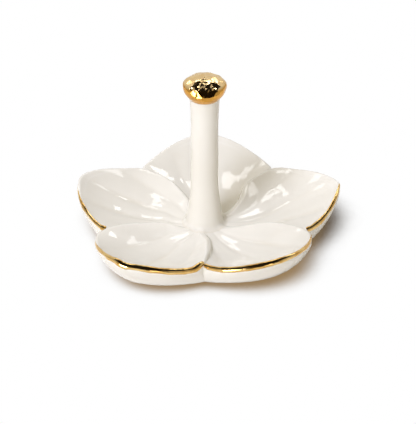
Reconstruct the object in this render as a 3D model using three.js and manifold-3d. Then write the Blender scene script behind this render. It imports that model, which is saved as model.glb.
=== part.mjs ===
// Ring holder: a dish of five lapped petals, with a post and a hammered knob in the middle.
// Millimetres, +Z up. The dish stands on the plane Z = 0 and the back petal points along +Y.

import * as THREE from "three";
import { mergeVertices } from "three/addons/utils/BufferGeometryUtils.js";
import Module from "manifold-3d";

const wasm = await Module();
wasm.setup();

// Joints between the clay pieces
const slipLayer = 0.3;            // slip left in every luted joint
const tuck = 2.5;                 // how far a lower petal runs in under its upper neighbour
const overrun = 5;                // how far a cutting solid reaches past what it cuts
const weld = 0.0003;              // points closer than this are one point

// The dish in plan
const hubRadius = 7;              // plug in the middle, hidden under the post
const cleftRadius = 41.8;         // where two neighbouring rims meet, from the post
const tipRadius = 54;             // tip of a petal, from the post
const cornerReach = 4.6;          // rounding of a petal's corner beside a cleft
const ridgeBulge = 2;             // how far a seam bows out over the lower petal
const ridgeRoll = 2;              // width of the rolled edge of an upper petal
const tuckedRoll = 0.8;           // rounding of the edge of a lower petal
const turnReach = 6.7;            // how far out from the hub the seams turn about the post

// The dish in height
const floorHeight = 1.5;          // underside of the dish
const wellHeight = 5.3;           // lowest part of the hollows
const hubHeight = 6.6;            // dish beside the post
const cleftHeight = 11.1;         // rim at a cleft
const tipHeight = 15.3;           // rim at a petal's tip
const ridgeStep = 1.4;            // an upper petal's ridge above the lower petal
const veinDepth = 0.4;            // folds pressed along each petal

// Walls of the dish
const lipRadius = 1.2;            // round of the lip
const lipFace = 0.8;              // straight face below the lip
const baseInset = 6;              // flat underside, inside the clefts
const baseLobe = 3.2;             // flat underside, further out under the middle of a petal

// Foot ring
const footWidth = 4;
const footInset = 1.6;            // inside the flat underside
const footRound = 0.4;

// Post
const waistRadius = 5.25;
const postFootRadius = 7.6;
const postFootFlare = 19;         // height of the lower flare
const postNeckRadius = 5.8;
const postNeckFlare = 14;         // height of the upper flare

// Knob
const knobRadius = 8.4;
const knobTop = 70;               // height of the whole object
const knobDepth = 8.4;            // from its seat on the post to its top
const knobDome = 3.6;             // the part of it above its widest circle
const knobSeatRadius = 5.6;
const knobDent = 0.35;            // depth of the hammer marks

// Gold along the rims
const goldGap = 0.2;              // glaze between the clay and the gold
const goldThickness = 0.4;
const goldClearance = 0.5;        // left free to the next petal at a cleft

// The post stands a little off the middle of the dish's outline.
const postOffsetX = -1.6;
const postOffsetY = -3;

// Seams in degrees about the post, anticlockwise from the front. A seam's turn is the angle that
// it swings about the post where it reaches it. The shares vary the sizes above along the seams.
const seams = [
  {
    angle: 270, turn: -6,
    radiusShare: 0.95, heightShare: 1.01, bulgeShare: 0.15, stepShare: 0.55, turnShare: 1.3,
  },
  {
    angle: 341.8, turn: -18,
    radiusShare: 1.017, heightShare: 1.027, bulgeShare: 0.4, stepShare: 1, turnShare: 2.6,
  },
  {
    angle: 413, turn: -26,
    radiusShare: 1.03, heightShare: 0.973, bulgeShare: 0, stepShare: 0.43, turnShare: 3,
  },
  {
    angle: 485, turn: 2,
    radiusShare: 0.99, heightShare: 0.973, bulgeShare: 1.25, stepShare: 1, turnShare: 1,
  },
  {
    angle: 557.3, turn: 27,
    radiusShare: 0.986, heightShare: 1.009, bulgeShare: 0.1, stepShare: 1, turnShare: 1,
  },
];

// Petals, each between its seam above and the next. startsOver and endsOver say at which seam it
// lies over its neighbour. fullness rounds its sides out, and noseShare blunts its tip.
const petals = [
  {
    name: "petal_front_right", tipAngle: 306, startsOver: false, endsOver: true,
    tipRadiusShare: 0.98, tipHeightShare: 1.1, noseShare: 0.33, fullness: 1, lobeShare: 0.4,
    startRadiusShare: 1, endRadiusShare: 1, veinShares: [0.21, 0.47, 0.72],
  },
  {
    name: "petal_right", tipAngle: 376, startsOver: false, endsOver: true,
    tipRadiusShare: 1.015, tipHeightShare: 1.03, noseShare: 0.02, fullness: 1.12, lobeShare: 0.7,
    startRadiusShare: 1, endRadiusShare: 1.055, veinShares: [0.32, 0.57, 0.8],
  },
  {
    name: "petal_back", tipAngle: 449.7, startsOver: false, endsOver: false,
    tipRadiusShare: 1.017, tipHeightShare: 1.01, noseShare: 0.07, fullness: 1.12, lobeShare: 0.7,
    startRadiusShare: 1.034, endRadiusShare: 1.05, veinShares: [0.16, 0.45, 0.7],
  },
  {
    name: "petal_left", tipAngle: 516.3, startsOver: true, endsOver: false,
    tipRadiusShare: 0.985, tipHeightShare: 1.01, noseShare: 0.02, fullness: 1.16, lobeShare: 1.2,
    startRadiusShare: 1.036, endRadiusShare: 1, veinShares: [0.2, 0.42, 0.63],
  },
  {
    name: "petal_front_left", tipAngle: 594.5, startsOver: true, endsOver: true,
    tipRadiusShare: 1.03, tipHeightShare: 1.06, noseShare: 0.05, fullness: 1.25, lobeShare: 1.75,
    startRadiusShare: 1.028, endRadiusShare: 1, veinShares: [0.28, 0.55, 0.78],
  },
];

// Hammer marks on the knob: each has a place, by its angle and its share of the radius, and a
// width as a share of the radius.
const hammerMarks = [
  { angle: 20, placeShare: 0.1, widthShare: 0.4 },
  { angle: 75, placeShare: 0.55, widthShare: 0.34 },
  { angle: 140, placeShare: 0.6, widthShare: 0.36 },
  { angle: 205, placeShare: 0.58, widthShare: 0.33 },
  { angle: 265, placeShare: 0.62, widthShare: 0.36 },
  { angle: 330, placeShare: 0.56, widthShare: 0.35 },
];

// How the surfaces run, as shares of a petal's length or width and as exponents
const wellShare = 0.45;           // length over which the hub falls to the hollow
const rimRise = 3.2;              // rise from the hollow to the rim
const crossFullness = 2.2;        // section of the hollow across the petal
const ridgeRise = 0.9;            // rise of a ridge from the post to the cleft
const stepShare = 0.35;           // length over which the step beside a ridge grows
const hubEdgeShare = 0.35;        // of an edge's overlap that is left at the hub
const overlapShare = 0.25;        // length over which the overlap grows
const taperStartShare = 0.55;     // where a rolled edge begins to narrow
const taperShare = 0.75;          // how much it narrows on its way to the cleft
const rollDropShare = 0.8;        // depth of a rolled edge to its width
const veinWidthShare = 0.05;
const veinFadeRise = 0.7;         // how soon a fold starts beside the post and ends at the rim
const wallLeanShare = 0.95;       // at 1 the outer wall would stand upright at the lip
const footFlareRise = 1.8;
const neckFlareRise = 2;
const hammerFade = 2;             // how sharply a hammer mark ends
const leastLean = 0.5;            // limits how far an outline's sharp corner moves out
const runShare = 0.005;           // of a petal's width, to find which way its lip runs

// Facets
const lengthSteps = 9;
const lipMargin = 2;              // the even rows end this many lip rounds inside the rim
const lipFanShares = [0, 0.38, 0.7, 0.92, 1];
const rollFanShares = [0, 0.012, 0.033, 0.06];
const crossSteps = 19;
const roundSteps = 44;
const flareSteps = 8;
const goldFanShares = [0.5, 0.7, 0.9, 1.1];
const bellySteps = 5;
const domeSteps = 8;

const fullTurn = 360;
const toRadians = Math.PI / 180;
const innerRadius = hubRadius + slipLayer;
const knobSeat = knobTop - knobDepth;
const knobWidest = knobTop - knobDome;
const postTop = knobSeat - slipLayer;

const clamp = (x) => Math.min(Math.max(x, 0), 1);
const smooth = (x) => clamp(x) ** 2 * (3 - 2 * clamp(x));
const mix = (a, b, k) => a + (b - a) * k;
const roundOff = (u) => 1 - Math.sqrt(1 - clamp(u) ** 2);

// A seam with its own sizes worked out. Past the last seam the first one comes round again.
function seamAt(index) {
  const seam = seams[index % seams.length];
  return {
    angle: seam.angle + (index < seams.length ? 0 : fullTurn),
    turn: seam.turn,
    turnRadius: innerRadius + turnReach * seam.turnShare,
    radius: cleftRadius * seam.radiusShare,
    height: cleftHeight * seam.heightShare,
    bulge: ridgeBulge * seam.bulgeShare,
    step: ridgeStep * seam.stepShare,
  };
}

// How far a petal's edge runs past the middle line of its seam, at a radius along the seam
function overlapAt(seam, isOver, radius) {
  const k = clamp((radius - innerRadius) / (seam.radius - innerRadius));
  const grown = mix(hubEdgeShare, 1, smooth(k / overlapShare));
  if (!isOver) return tuck * grown;
  const taper = 1 - taperShare * smooth((k - taperStartShare) / (1 - taperStartShare));
  return ridgeRoll * grown * taper + seam.bulge * Math.sin(Math.PI * k);
}

// The angle of a petal's edge. Its side is -1 where the petal starts and 1 where it ends.
function edgeAngle(seam, isOver, side, s) {
  const radius = mix(innerRadius, seam.radius - cornerReach, s);
  const turned = 1 - smooth((radius - innerRadius) / (seam.turnRadius - innerRadius));
  const overlap = overlapAt(seam, isOver, radius) / radius / toRadians;
  return seam.angle + seam.turn * turned + side * overlap;
}

// A petal's rim at an angle: its radius and height before the corners are rounded, and how far
// along it is from the cleft to the tip.
function rimAt(petal, angle) {
  const isStart = angle < petal.tipAngle;
  const seam = isStart ? petal.start : petal.end;
  const along = clamp((angle - seam.angle) / (petal.tipAngle - seam.angle));
  const nose = petal.noseShare;
  const blunt = (Math.hypot(1 - along, nose) - nose) / (Math.hypot(1, nose) - nose);
  const cleft = seam.radius * (isStart ? petal.startRadiusShare : petal.endRadiusShare);
  return {
    radius: mix(cleft, petal.tipRadius, 1 - blunt ** petal.fullness),
    height: mix(seam.height, petal.tipHeight, smooth(along)),
    along,
  };
}

// One point of a petal, s from the hub to the rim and t from its start to its end, with the
// heights of its upper face and its underside.
function petalPoint(petal, s, t) {
  const { start, end } = petal;
  const startAngle = edgeAngle(start, petal.startsOver, -1, s);
  const endAngle = edgeAngle(end, petal.endsOver, 1, s);
  const rim = rimAt(petal, mix(petal.startRimAngle, petal.endRimAngle, t));
  const corner = Math.max(petal.cornerShare - t, t - 1 + petal.cornerShare) / petal.cornerShare;
  const outline = rim.radius - cornerReach * roundOff(corner);
  const radius = mix(innerRadius, outline, s);
  const outward = clamp((radius - innerRadius) / (rim.radius - innerRadius));

  // Distances from the two edges, across the petal
  const width = (endAngle - startAngle) * toRadians * radius;
  const startRoll = petal.startsOver ? ridgeRoll : tuckedRoll;
  const endRoll = petal.endsOver ? ridgeRoll : tuckedRoll;
  const place = clamp((t * width - startRoll) / (width - startRoll - endRoll));
  const hollow = 1 - Math.abs(2 * place - 1) ** crossFullness;

  // The ridges beside the seams, the hollow between them and the folds in it
  const stepDown = smooth(outward / stepShare);
  const rise = Math.sin(Math.PI / 2 * outward) ** ridgeRise;
  const startRidge = mix(hubHeight, start.height, rise) - (petal.startsOver ? 0 : start.step * stepDown);
  const endRidge = mix(hubHeight, end.height, rise) - (petal.endsOver ? 0 : end.step * stepDown);
  const well = mix(hubHeight, wellHeight, smooth(outward / wellShare));
  const body = mix(mix(startRidge, endRidge, t), well, hollow);
  let top = mix(body, rim.height, outward ** rimRise);
  const veinFade = Math.sin(Math.PI * outward) ** veinFadeRise;
  for (const vein of petal.veinShares) {
    top -= veinDepth * veinFade * Math.exp(-(((t - vein) / veinWidthShare) ** 2));
  }

  // The round of the lip and of the two sides
  const lip = lipRadius * roundOff(1 - (outline - radius) / lipRadius);
  const startSide = startRoll * rollDropShare * roundOff(1 - t * width / startRoll);
  const endSide = endRoll * rollDropShare * roundOff(1 - (1 - t) * width / endRoll);
  top -= Math.max(lip, Math.max(startSide, endSide) * stepDown);

  // The outer wall, from the flat underside up to the face below the lip
  const seamBase = Math.min(start.radius, end.radius) - baseInset;
  const base = seamBase + baseLobe * petal.lobeShare * smooth(rim.along);
  const wall = roundOff(wallLeanShare * clamp((radius - base) / (rim.radius - base)));
  const underside = mix(floorHeight, rim.height - lipRadius - lipFace, wall / roundOff(wallLeanShare));

  const angle = mix(startAngle, endAngle, t) * toRadians;
  return { x: radius * Math.cos(angle), y: radius * Math.sin(angle), top, underside, rim, angle, outline };
}

// The petal with its seams, and where the rows of its facets lie
function setOut(petal, index) {
  const set = { ...petal, start: seamAt(index), end: seamAt(index + 1) };
  set.tipRadius = tipRadius * petal.tipRadiusShare;
  set.tipHeight = tipHeight * petal.tipHeightShare;
  set.startRimAngle = edgeAngle(set.start, petal.startsOver, -1, 1);
  set.endRimAngle = edgeAngle(set.end, petal.endsOver, 1, 1);
  set.cornerShare = cornerReach / ((set.endRimAngle - set.startRimAngle) * toRadians * cleftRadius);
  const tip = (petal.tipAngle - set.startRimAngle) / (set.endRimAngle - set.startRimAngle);

  const lipBand = lipRadius / (cleftRadius - innerRadius);
  const rows = [];
  for (let i = 0; i < lengthSteps; i++) rows.push((1 - lipMargin * lipBand) * i / (lengthSteps - 1));
  for (const share of lipFanShares) rows.push(1 - lipBand * (1 - share));
  set.rows = rows;

  const inner = rollFanShares[rollFanShares.length - 1];
  const before = Math.round(crossSteps * tip);
  const columns = [...rollFanShares];
  for (let i = 1; i <= before; i++) columns.push(mix(inner, tip, i / before));
  const after = crossSteps - before;
  for (let i = 1; i <= after; i++) columns.push(mix(tip, 1 - inner, i / after));
  for (const share of [...rollFanShares].reverse().slice(1)) columns.push(1 - share);
  set.columns = columns;
  return set;
}

// A solid for cutting, from a closed geometry
function toSolid(geometry) {
  const plain = geometry.clone();
  plain.deleteAttribute("normal");
  plain.deleteAttribute("uv");
  const merged = mergeVertices(plain, weld);
  const vertProperties = new Float32Array(merged.attributes.position.array);
  const triVerts = new Uint32Array(merged.index.array);
  return new wasm.Manifold(new wasm.Mesh({ numProp: 3, vertProperties, triVerts }));
}

// A geometry with its own normals, from a solid
function toGeometry(solid) {
  const mesh = solid.getMesh();
  const geometry = new THREE.BufferGeometry();
  geometry.setAttribute("position", new THREE.BufferAttribute(mesh.vertProperties, 3));
  geometry.setIndex(new THREE.BufferAttribute(mesh.triVerts, 1));
  geometry.computeVertexNormals();
  return geometry;
}

// Closes a grid of rings of points into a geometry. Each ring is closed, and the first and last
// rings are joined to each other, or covered by flat caps.
function skinRings(rings, capped) {
  const points = rings.flat();
  const size = rings[0].length;
  const faces = [];
  const loops = capped ? rings.length - 1 : rings.length;
  for (let i = 0; i < loops; i++) {
    const next = (i + 1) % rings.length;
    for (let j = 0; j < size; j++) {
      const k = (j + 1) % size;
      faces.push(i * size + j, next * size + j, next * size + k);
      faces.push(i * size + j, next * size + k, i * size + k);
    }
  }
  if (capped) {
    for (let j = 1; j < size - 1; j++) {
      const last = (rings.length - 1) * size;
      faces.push(0, j, j + 1);
      faces.push(last, last + j + 1, last + j);
    }
  }
  const geometry = new THREE.BufferGeometry();
  geometry.setAttribute("position", new THREE.Float32BufferAttribute(points.flat(), 3));
  geometry.setIndex(faces);
  return geometry;
}

// A petal before it is trimmed to its neighbours: an upper and a lower grid with a wall round them
function petalGeometry(petal) {
  const { rows, columns } = petal;
  const points = [];
  const faces = [];
  const grids = rows.map((s) => columns.map((t) => petalPoint(petal, s, t)));
  for (const row of grids) for (const p of row) points.push(p.x, p.y, p.top);
  for (const row of grids) for (const p of row) points.push(p.x, p.y, p.underside);
  const across = columns.length;
  const lower = rows.length * across;
  const quad = (a, b, c, d) => faces.push(a, b, c, a, c, d);
  for (let i = 0; i < rows.length - 1; i++) {
    for (let j = 0; j < across - 1; j++) {
      const a = i * across + j;
      const b = a + across;
      quad(a, b, b + 1, a + 1);
      quad(lower + a, lower + a + 1, lower + b + 1, lower + b);
    }
  }
  for (let j = 0; j < across - 1; j++) {
    const outer = (rows.length - 1) * across + j;
    quad(j + 1, lower + j + 1, lower + j, j);
    quad(outer, lower + outer, lower + outer + 1, outer + 1);
  }
  for (let i = 0; i < rows.length - 1; i++) {
    const a = i * across;
    const b = a + across - 1;
    quad(a, lower + a, lower + a + across, a + across);
    quad(b + across, lower + b + across, lower + b, b);
  }
  const geometry = new THREE.BufferGeometry();
  geometry.setAttribute("position", new THREE.Float32BufferAttribute(points, 3));
  geometry.setIndex(faces);
  return geometry;
}

// A petal's outline in plan, anticlockwise, moved outwards by a clearance
function outlineOf(petal, clearance) {
  const { rows, columns } = petal;
  const corners = [
    ...rows.map((s) => petalPoint(petal, s, 0)),
    ...columns.slice(1).map((t) => petalPoint(petal, 1, t)),
    ...[...rows].reverse().slice(1).map((s) => petalPoint(petal, s, 1)),
    ...[...columns].reverse().slice(1, -1).map((t) => petalPoint(petal, 0, t)),
  ].map((p) => new THREE.Vector2(p.x, p.y));
  return corners.map((corner, i) => {
    const before = corners[(i + corners.length - 1) % corners.length];
    const after = corners[(i + 1) % corners.length];
    const inward = corner.clone().sub(before).normalize();
    const onward = after.clone().sub(corner).normalize();
    const normal = new THREE.Vector2(inward.y + onward.y, -inward.x - onward.x).normalize();
    const lean = Math.max(normal.dot(new THREE.Vector2(onward.y, -onward.x)), leastLean);
    return corner.clone().addScaledVector(normal, clearance / lean);
  });
}

// A petal's outline as an upright cutting solid, taller than the dish
function petalCutter(petal, clearance) {
  const shape = new THREE.Shape(outlineOf(petal, clearance));
  const depth = overrun + tipHeight + overrun;
  const geometry = new THREE.ExtrudeGeometry(shape, { depth, bevelEnabled: false });
  geometry.translate(0, 0, -overrun);
  return toSolid(geometry);
}

// The gold along a petal's lip, as a thin band bent over the lip's outer round
function goldGeometry(petal) {
  const first = petal.cornerShare / 2;
  const stations = petal.columns.filter((t) => t > first && t < 1 - first);
  const rings = stations.map((t) => {
    const p = petalPoint(petal, 1, t);
    const behind = petalPoint(petal, 1, t - runShare);
    const ahead = petalPoint(petal, 1, t + runShare);
    const run = new THREE.Vector2(ahead.x - behind.x, ahead.y - behind.y).normalize();
    const place = (share, reach) => {
      const turn = share * Math.PI / 2;
      const out = reach * Math.sin(turn) - lipRadius;
      return [p.x + run.y * out, p.y - run.x * out, p.rim.height - lipRadius + reach * Math.cos(turn)];
    };
    const under = goldFanShares.map((share) => place(share, lipRadius + goldGap));
    const over = goldFanShares.map((share) => place(share, lipRadius + goldGap + goldThickness));
    return [...under, ...over.reverse()];
  });
  return skinRings(rings, true);
}

// Turned pieces: a profile of [radius, height] pairs that starts and ends on the axis, or closes
function turned(profile) {
  return new THREE.LatheGeometry(profile.map(([r, z]) => new THREE.Vector2(r, z)), roundSteps)
    .rotateX(Math.PI / 2);
}

function postGeometry() {
  const foot = hubHeight + slipLayer;
  const profile = [[0, foot]];
  for (let i = 0; i <= flareSteps; i++) {
    const k = i / flareSteps;
    const slim = 1 - (1 - k) ** footFlareRise;
    profile.push([mix(postFootRadius, waistRadius, slim), foot + postFootFlare * k]);
  }
  for (let i = 0; i <= flareSteps; i++) {
    const k = i / flareSteps;
    profile.push([mix(waistRadius, postNeckRadius, k ** neckFlareRise), postTop - postNeckFlare * (1 - k)]);
  }
  profile.push([0, postTop]);
  return turned(profile);
}

function knobGeometry() {
  const profile = [[0, knobSeat], [knobSeatRadius, knobSeat]];
  for (let i = 1; i <= bellySteps; i++) {
    const k = i / bellySteps;
    profile.push([mix(knobSeatRadius, knobRadius, Math.sin(Math.PI / 2 * k)), mix(knobSeat, knobWidest, k)]);
  }
  for (let i = 1; i < domeSteps; i++) {
    const k = Math.PI / 2 * i / domeSteps;
    profile.push([knobRadius * Math.cos(k), knobWidest + (knobTop - knobWidest) * Math.sin(k)]);
  }
  profile.push([0, knobTop]);
  const geometry = turned(profile);
  const position = geometry.attributes.position;
  for (let i = 0; i < position.count; i++) {
    if (position.getZ(i) < knobWidest) continue;
    let sink = 0;
    for (const mark of hammerMarks) {
      const angle = mark.angle * toRadians;
      const away = Math.hypot(
        position.getX(i) - knobRadius * mark.placeShare * Math.cos(angle),
        position.getY(i) - knobRadius * mark.placeShare * Math.sin(angle),
      );
      sink += knobDent * Math.exp(-((away / (knobRadius * mark.widthShare)) ** 2) * hammerFade);
    }
    position.setZ(i, Math.max(position.getZ(i) - sink, knobWidest));
  }
  return geometry;
}

function hubGeometry() {
  return turned([[0, floorHeight], [hubRadius, floorHeight], [hubRadius, hubHeight], [0, hubHeight]]);
}

function footGeometry() {
  const least = Math.min(...seams.map((seam) => seam.radiusShare));
  const outer = cleftRadius * least - baseInset - footInset;
  const inner = outer - footWidth;
  const top = floorHeight - slipLayer;
  return turned([
    [inner + footRound, 0], [outer - footRound, 0], [outer, footRound], [outer, top],
    [inner, top], [inner, footRound], [inner + footRound, 0],
  ]);
}

// Finishes
const glaze = { color: "#f3eee1", roughness: 0.12, metalness: 0 };
const bareClay = { color: "#e8dfcd", roughness: 0.85, metalness: 0 };
const gold = { color: "#d8ab5c", roughness: 0.18, metalness: 1 };

// The object, with the post on the axis of this group
const ringHolder = new THREE.Group();
ringHolder.position.set(postOffsetX, postOffsetY, 0);

function addPiece(name, geometry, finish) {
  const piece = new THREE.Mesh(geometry, new THREE.MeshStandardMaterial(finish));
  piece.name = name;
  ringHolder.add(piece);
}

const placed = petals.map(setOut);
placed.forEach((petal, i) => {
  const previous = placed[(i + placed.length - 1) % placed.length];
  const next = placed[(i + 1) % placed.length];
  let clay = toSolid(petalGeometry(petal));
  if (!petal.startsOver) clay = clay.subtract(petalCutter(previous, slipLayer));
  if (!petal.endsOver) clay = clay.subtract(petalCutter(next, slipLayer));
  addPiece(petal.name, toGeometry(clay), glaze);

  const goldReach = goldGap + goldThickness + goldClearance;
  const line = toSolid(goldGeometry(petal))
    .subtract(petalCutter(previous, goldReach))
    .subtract(petalCutter(next, goldReach));
  addPiece(petal.name.replace("petal", "gold_rim"), toGeometry(line), gold);
});

addPiece("hub", hubGeometry(), glaze);
addPiece("foot_ring", footGeometry(), bareClay);
addPiece("post", postGeometry(), glaze);
addPiece("knob", knobGeometry(), gold);

export default ringHolder;
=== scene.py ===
"""A ring holder in glazed ceramic: five lapped petals with gold along their rims, a flared post
and a hammered gold knob. Sizes are in millimetres and become metres in the finished meshes."""
import logging
import math
from dataclasses import dataclass, field, replace
from enum import Enum
from typing import Any, Optional, Union

import bpy
import numpy as np
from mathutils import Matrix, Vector
from mathutils.bvhtree import BVHTree


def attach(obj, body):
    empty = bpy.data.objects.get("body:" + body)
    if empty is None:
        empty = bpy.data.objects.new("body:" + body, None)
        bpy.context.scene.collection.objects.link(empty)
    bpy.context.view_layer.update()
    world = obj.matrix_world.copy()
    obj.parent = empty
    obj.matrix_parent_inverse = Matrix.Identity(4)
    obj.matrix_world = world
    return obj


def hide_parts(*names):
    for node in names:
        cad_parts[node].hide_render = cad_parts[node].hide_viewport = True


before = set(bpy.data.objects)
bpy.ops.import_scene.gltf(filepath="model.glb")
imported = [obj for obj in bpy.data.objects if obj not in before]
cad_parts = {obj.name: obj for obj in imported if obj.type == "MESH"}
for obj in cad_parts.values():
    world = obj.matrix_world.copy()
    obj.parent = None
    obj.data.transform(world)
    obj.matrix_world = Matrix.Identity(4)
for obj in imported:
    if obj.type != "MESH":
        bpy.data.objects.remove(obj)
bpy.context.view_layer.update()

MM = 0.001
TINY = 1e-12
Array = np.ndarray
Colour = tuple[float, float, float]
Point = tuple[float, float, float]
Range = tuple[float, float]
Inputs = dict[Union[str, int], Any]
log = logging.getLogger("ring_holder")


class Side(Enum):
    """The two long edges of a petal."""
    START = -1
    END = 1

    @property
    def place(self) -> int:
        """Where the edge lies across its petal, 0 or 1."""
        return (self.value + 1) // 2

    @property
    def facing(self) -> "Side":
        """The edge of a neighbour that lies at this one."""
        return Side(-self.value)


class Lap(Enum):
    """How a petal's edge lies on its neighbour at a seam."""
    OVER = "over"
    UNDER = "under"


def clamp(x: Array) -> Array:
    """Numbers held between 0 and 1."""
    return np.clip(x, 0, 1)


def smooth(x: Array) -> Array:
    """A soft step from 0 to 1."""
    return clamp(x) ** 2 * (3 - 2 * clamp(x))


def mix(a: Any, b: Any, k: Any) -> Any:
    """The number a share k of the way from a to b."""
    return a + (b - a) * k


def round_off(u: Array) -> Array:
    """The drop of a quarter round, 0 where u is 0 and 1 where u is 1."""
    return 1 - np.sqrt(1 - clamp(u) ** 2)


def turns_round(count: int) -> Array:
    """Angles in radians that part a full turn evenly."""
    return np.linspace(0, 2 * math.pi, count + 1)[:-1]


def ring_of(radius: Any, turns: Array, height: Any) -> Array:
    """A ring of points about the post's axis."""
    return np.stack([radius * np.cos(turns), radius * np.sin(turns), height + 0 * turns], axis=-1)


def sweep_between(u: float, start: Array, start_slope: Array, end: Array, end_slope: Array) -> Array:
    """Heights at a share u of a smooth curve, whose slopes are over its whole length."""
    leave = (2 * u ** 3 - 3 * u ** 2 + 1) * start + (u ** 3 - 2 * u ** 2 + u) * start_slope
    return leave + (3 * u ** 2 - 2 * u ** 3) * end + (u ** 3 - u ** 2) * end_slope


def nearest_on_line(points: Array, line: Array) -> tuple[Array, Array, Array]:
    """Finds the nearest places on a line of straight stretches in plan.

    Args:
        points: Places in plan, one to a row.
        line: The line's points, one to a row.

    Returns:
        The distance of each place from the line, the number of the nearest stretch, and the
        share of the way along it.
    """
    run = np.diff(line, axis=0)
    square = (run ** 2).sum(axis=1) + TINY
    from_start = points[:, None] - line[None, :-1]
    share = clamp((from_start * run[None]).sum(axis=2) / square)
    away = np.hypot(*np.moveaxis(from_start - share[..., None] * run[None], 2, 0))
    stretch = away.argmin(axis=1)
    rows = np.arange(len(points))
    return away[rows, stretch], stretch, share[rows, stretch]


class Socket:
    """A socket of a node tree that can be used in Python expressions."""

    def __init__(self, tree: "Tree", socket: Optional[bpy.types.NodeSocket]) -> None:
        """Wraps a socket of a tree, or none for a node without outputs."""
        self.tree = tree
        self.socket = socket

    def maths(self, operation: str, *others: Any) -> "Socket":
        """Adds a Math node for the socket and further values or sockets."""
        values = dict(enumerate((self, *others)))
        return self.tree.add("ShaderNodeMath", {"operation": operation}, values)

    def __add__(self, other: Any) -> "Socket":
        """Adds."""
        return self.maths("ADD", other)

    __radd__ = __add__

    def __mul__(self, other: Any) -> "Socket":
        """Multiplies."""
        return self.maths("MULTIPLY", other)

    __rmul__ = __mul__

    def __sub__(self, other: Any) -> "Socket":
        """Subtracts."""
        return self.maths("SUBTRACT", other)

    def __rsub__(self, other: float) -> "Socket":
        """Subtracts the socket from a number."""
        return self.maths("MULTIPLY", -1.0).maths("ADD", other)

    def __truediv__(self, other: Any) -> "Socket":
        """Divides."""
        return self.maths("DIVIDE", other)

    def __rtruediv__(self, other: float) -> "Socket":
        """Divides a number by the socket."""
        return self.maths("POWER", -1.0).maths("MULTIPLY", other)

    def __pow__(self, other: Any) -> "Socket":
        """Raises to a power."""
        return self.maths("POWER", other)

    def step(self, low: float, high: float) -> "Socket":
        """A soft step from 0 at low to 1 at high."""
        ranges = {1: low, 2: high, 3: 0.0, 4: 1.0}
        return self.tree.add("ShaderNodeMapRange", {"interpolation_type": "SMOOTHSTEP"}, {0: self, **ranges})


class Tree:
    """A node tree that is filled in from Python."""

    mix_colours = (6, 7)
    mix_result = 2

    def __init__(self, nodes: bpy.types.NodeTree) -> None:
        """Keeps the tree to fill in."""
        self.nodes = nodes

    def add(
        self, kind: str, settings: Optional[dict[str, Any]] = None,
        values: Optional[Inputs] = None, output: Union[str, int] = 0,
    ) -> Socket:
        """Adds any node.

        Args:
            kind: The node's type.
            settings: Its settings, which are set first.
            values: Values or sockets for its inputs, by name or by number.
            output: The output that is wanted.

        Returns:
            That output.
        """
        node = self.nodes.nodes.new(kind)
        for name, setting in (settings or {}).items():
            setattr(node, name, setting)
        for key, value in (values or {}).items():
            if isinstance(value, Socket):
                self.nodes.links.new(value.socket, node.inputs[key])
            else:
                node.inputs[key].default_value = value
        return Socket(self, node.outputs[output] if node.outputs else None)

    def noise(self, place: Socket, size: float, detail: float = 2.0, rough: float = 0.5) -> Socket:
        """Noise of about 0 to 1, with blots of a size in metres and finer layers on them."""
        values = {"Vector": place, "Scale": 1 / size, "Detail": detail, "Roughness": rough}
        return self.add("ShaderNodeTexNoise", None, values)

    def blend(self, factor: Any, first: Any, second: Any) -> Socket:
        """Mixes two colours.

        Args:
            factor: Share of the second colour, a number or a socket.
            first: A colour or a socket.
            second: A colour or a socket.

        Returns:
            The mixed colour.
        """
        ends = [c if isinstance(c, Socket) else (*c, 1) for c in (first, second)]
        values = {0: factor, **dict(zip(self.mix_colours, ends))}
        return self.add("ShaderNodeMix", {"data_type": "RGBA"}, values, self.mix_result)

    def bump(self, height: Socket, depth: float, below: Optional[Socket] = None) -> Socket:
        """Adds a Bump node.

        Args:
            height: Heights of 0 to 1.
            depth: Their depth in metres.
            below: The normal of another bump, on which this one lies.

        Returns:
            The node's normal.
        """
        values: Inputs = {"Height": height, "Distance": depth, "Strength": 1.0}
        if below:
            values["Normal"] = below
        return self.add("ShaderNodeBump", None, values)

    def axis(self, vector: Socket, letter: str) -> Socket:
        """One axis of a vector, by its letter."""
        return self.add("ShaderNodeSeparateXYZ", None, {0: vector}, letter)

    def ray(self, kind: str) -> Socket:
        """1 for rays of one kind, such as Is Camera Ray, and 0 for all others."""
        return self.add("ShaderNodeLightPath", None, None, kind)

    def choose(self, factor: Socket, first: Socket, second: Socket) -> Socket:
        """Mixes two shaders by a factor."""
        return self.add("ShaderNodeMixShader", None, {0: factor, 1: first, 2: second})


def empty_tree(owner: Union[bpy.types.Material, bpy.types.World]) -> Tree:
    """Clears the node tree of a material or a world.

    Args:
        owner: The material or the world.

    Returns:
        Its tree, to fill in.
    """
    owner.use_nodes = True
    owner.node_tree.nodes.clear()
    return Tree(owner.node_tree)


class Finish:
    """A finish that makes its own material."""

    name = "finish"

    def surface(self, tree: Tree) -> Inputs:
        """Gives the inputs of the Principled shader."""
        raise NotImplementedError

    def material(self) -> bpy.types.Material:
        """Makes the material, or finds it if it is made already.

        Returns:
            The material.
        """
        known = bpy.data.materials.get(self.name)
        if known:
            return known
        made = bpy.data.materials.new(self.name)
        tree = empty_tree(made)
        shader = tree.add("ShaderNodeBsdfPrincipled", None, self.surface(tree))
        tree.add("ShaderNodeOutputMaterial", None, {"Surface": shader})
        return made

    @staticmethod
    def place(tree: Tree) -> Socket:
        """Object coordinates."""
        return tree.add("ShaderNodeTexCoord", None, None, "Object")


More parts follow.
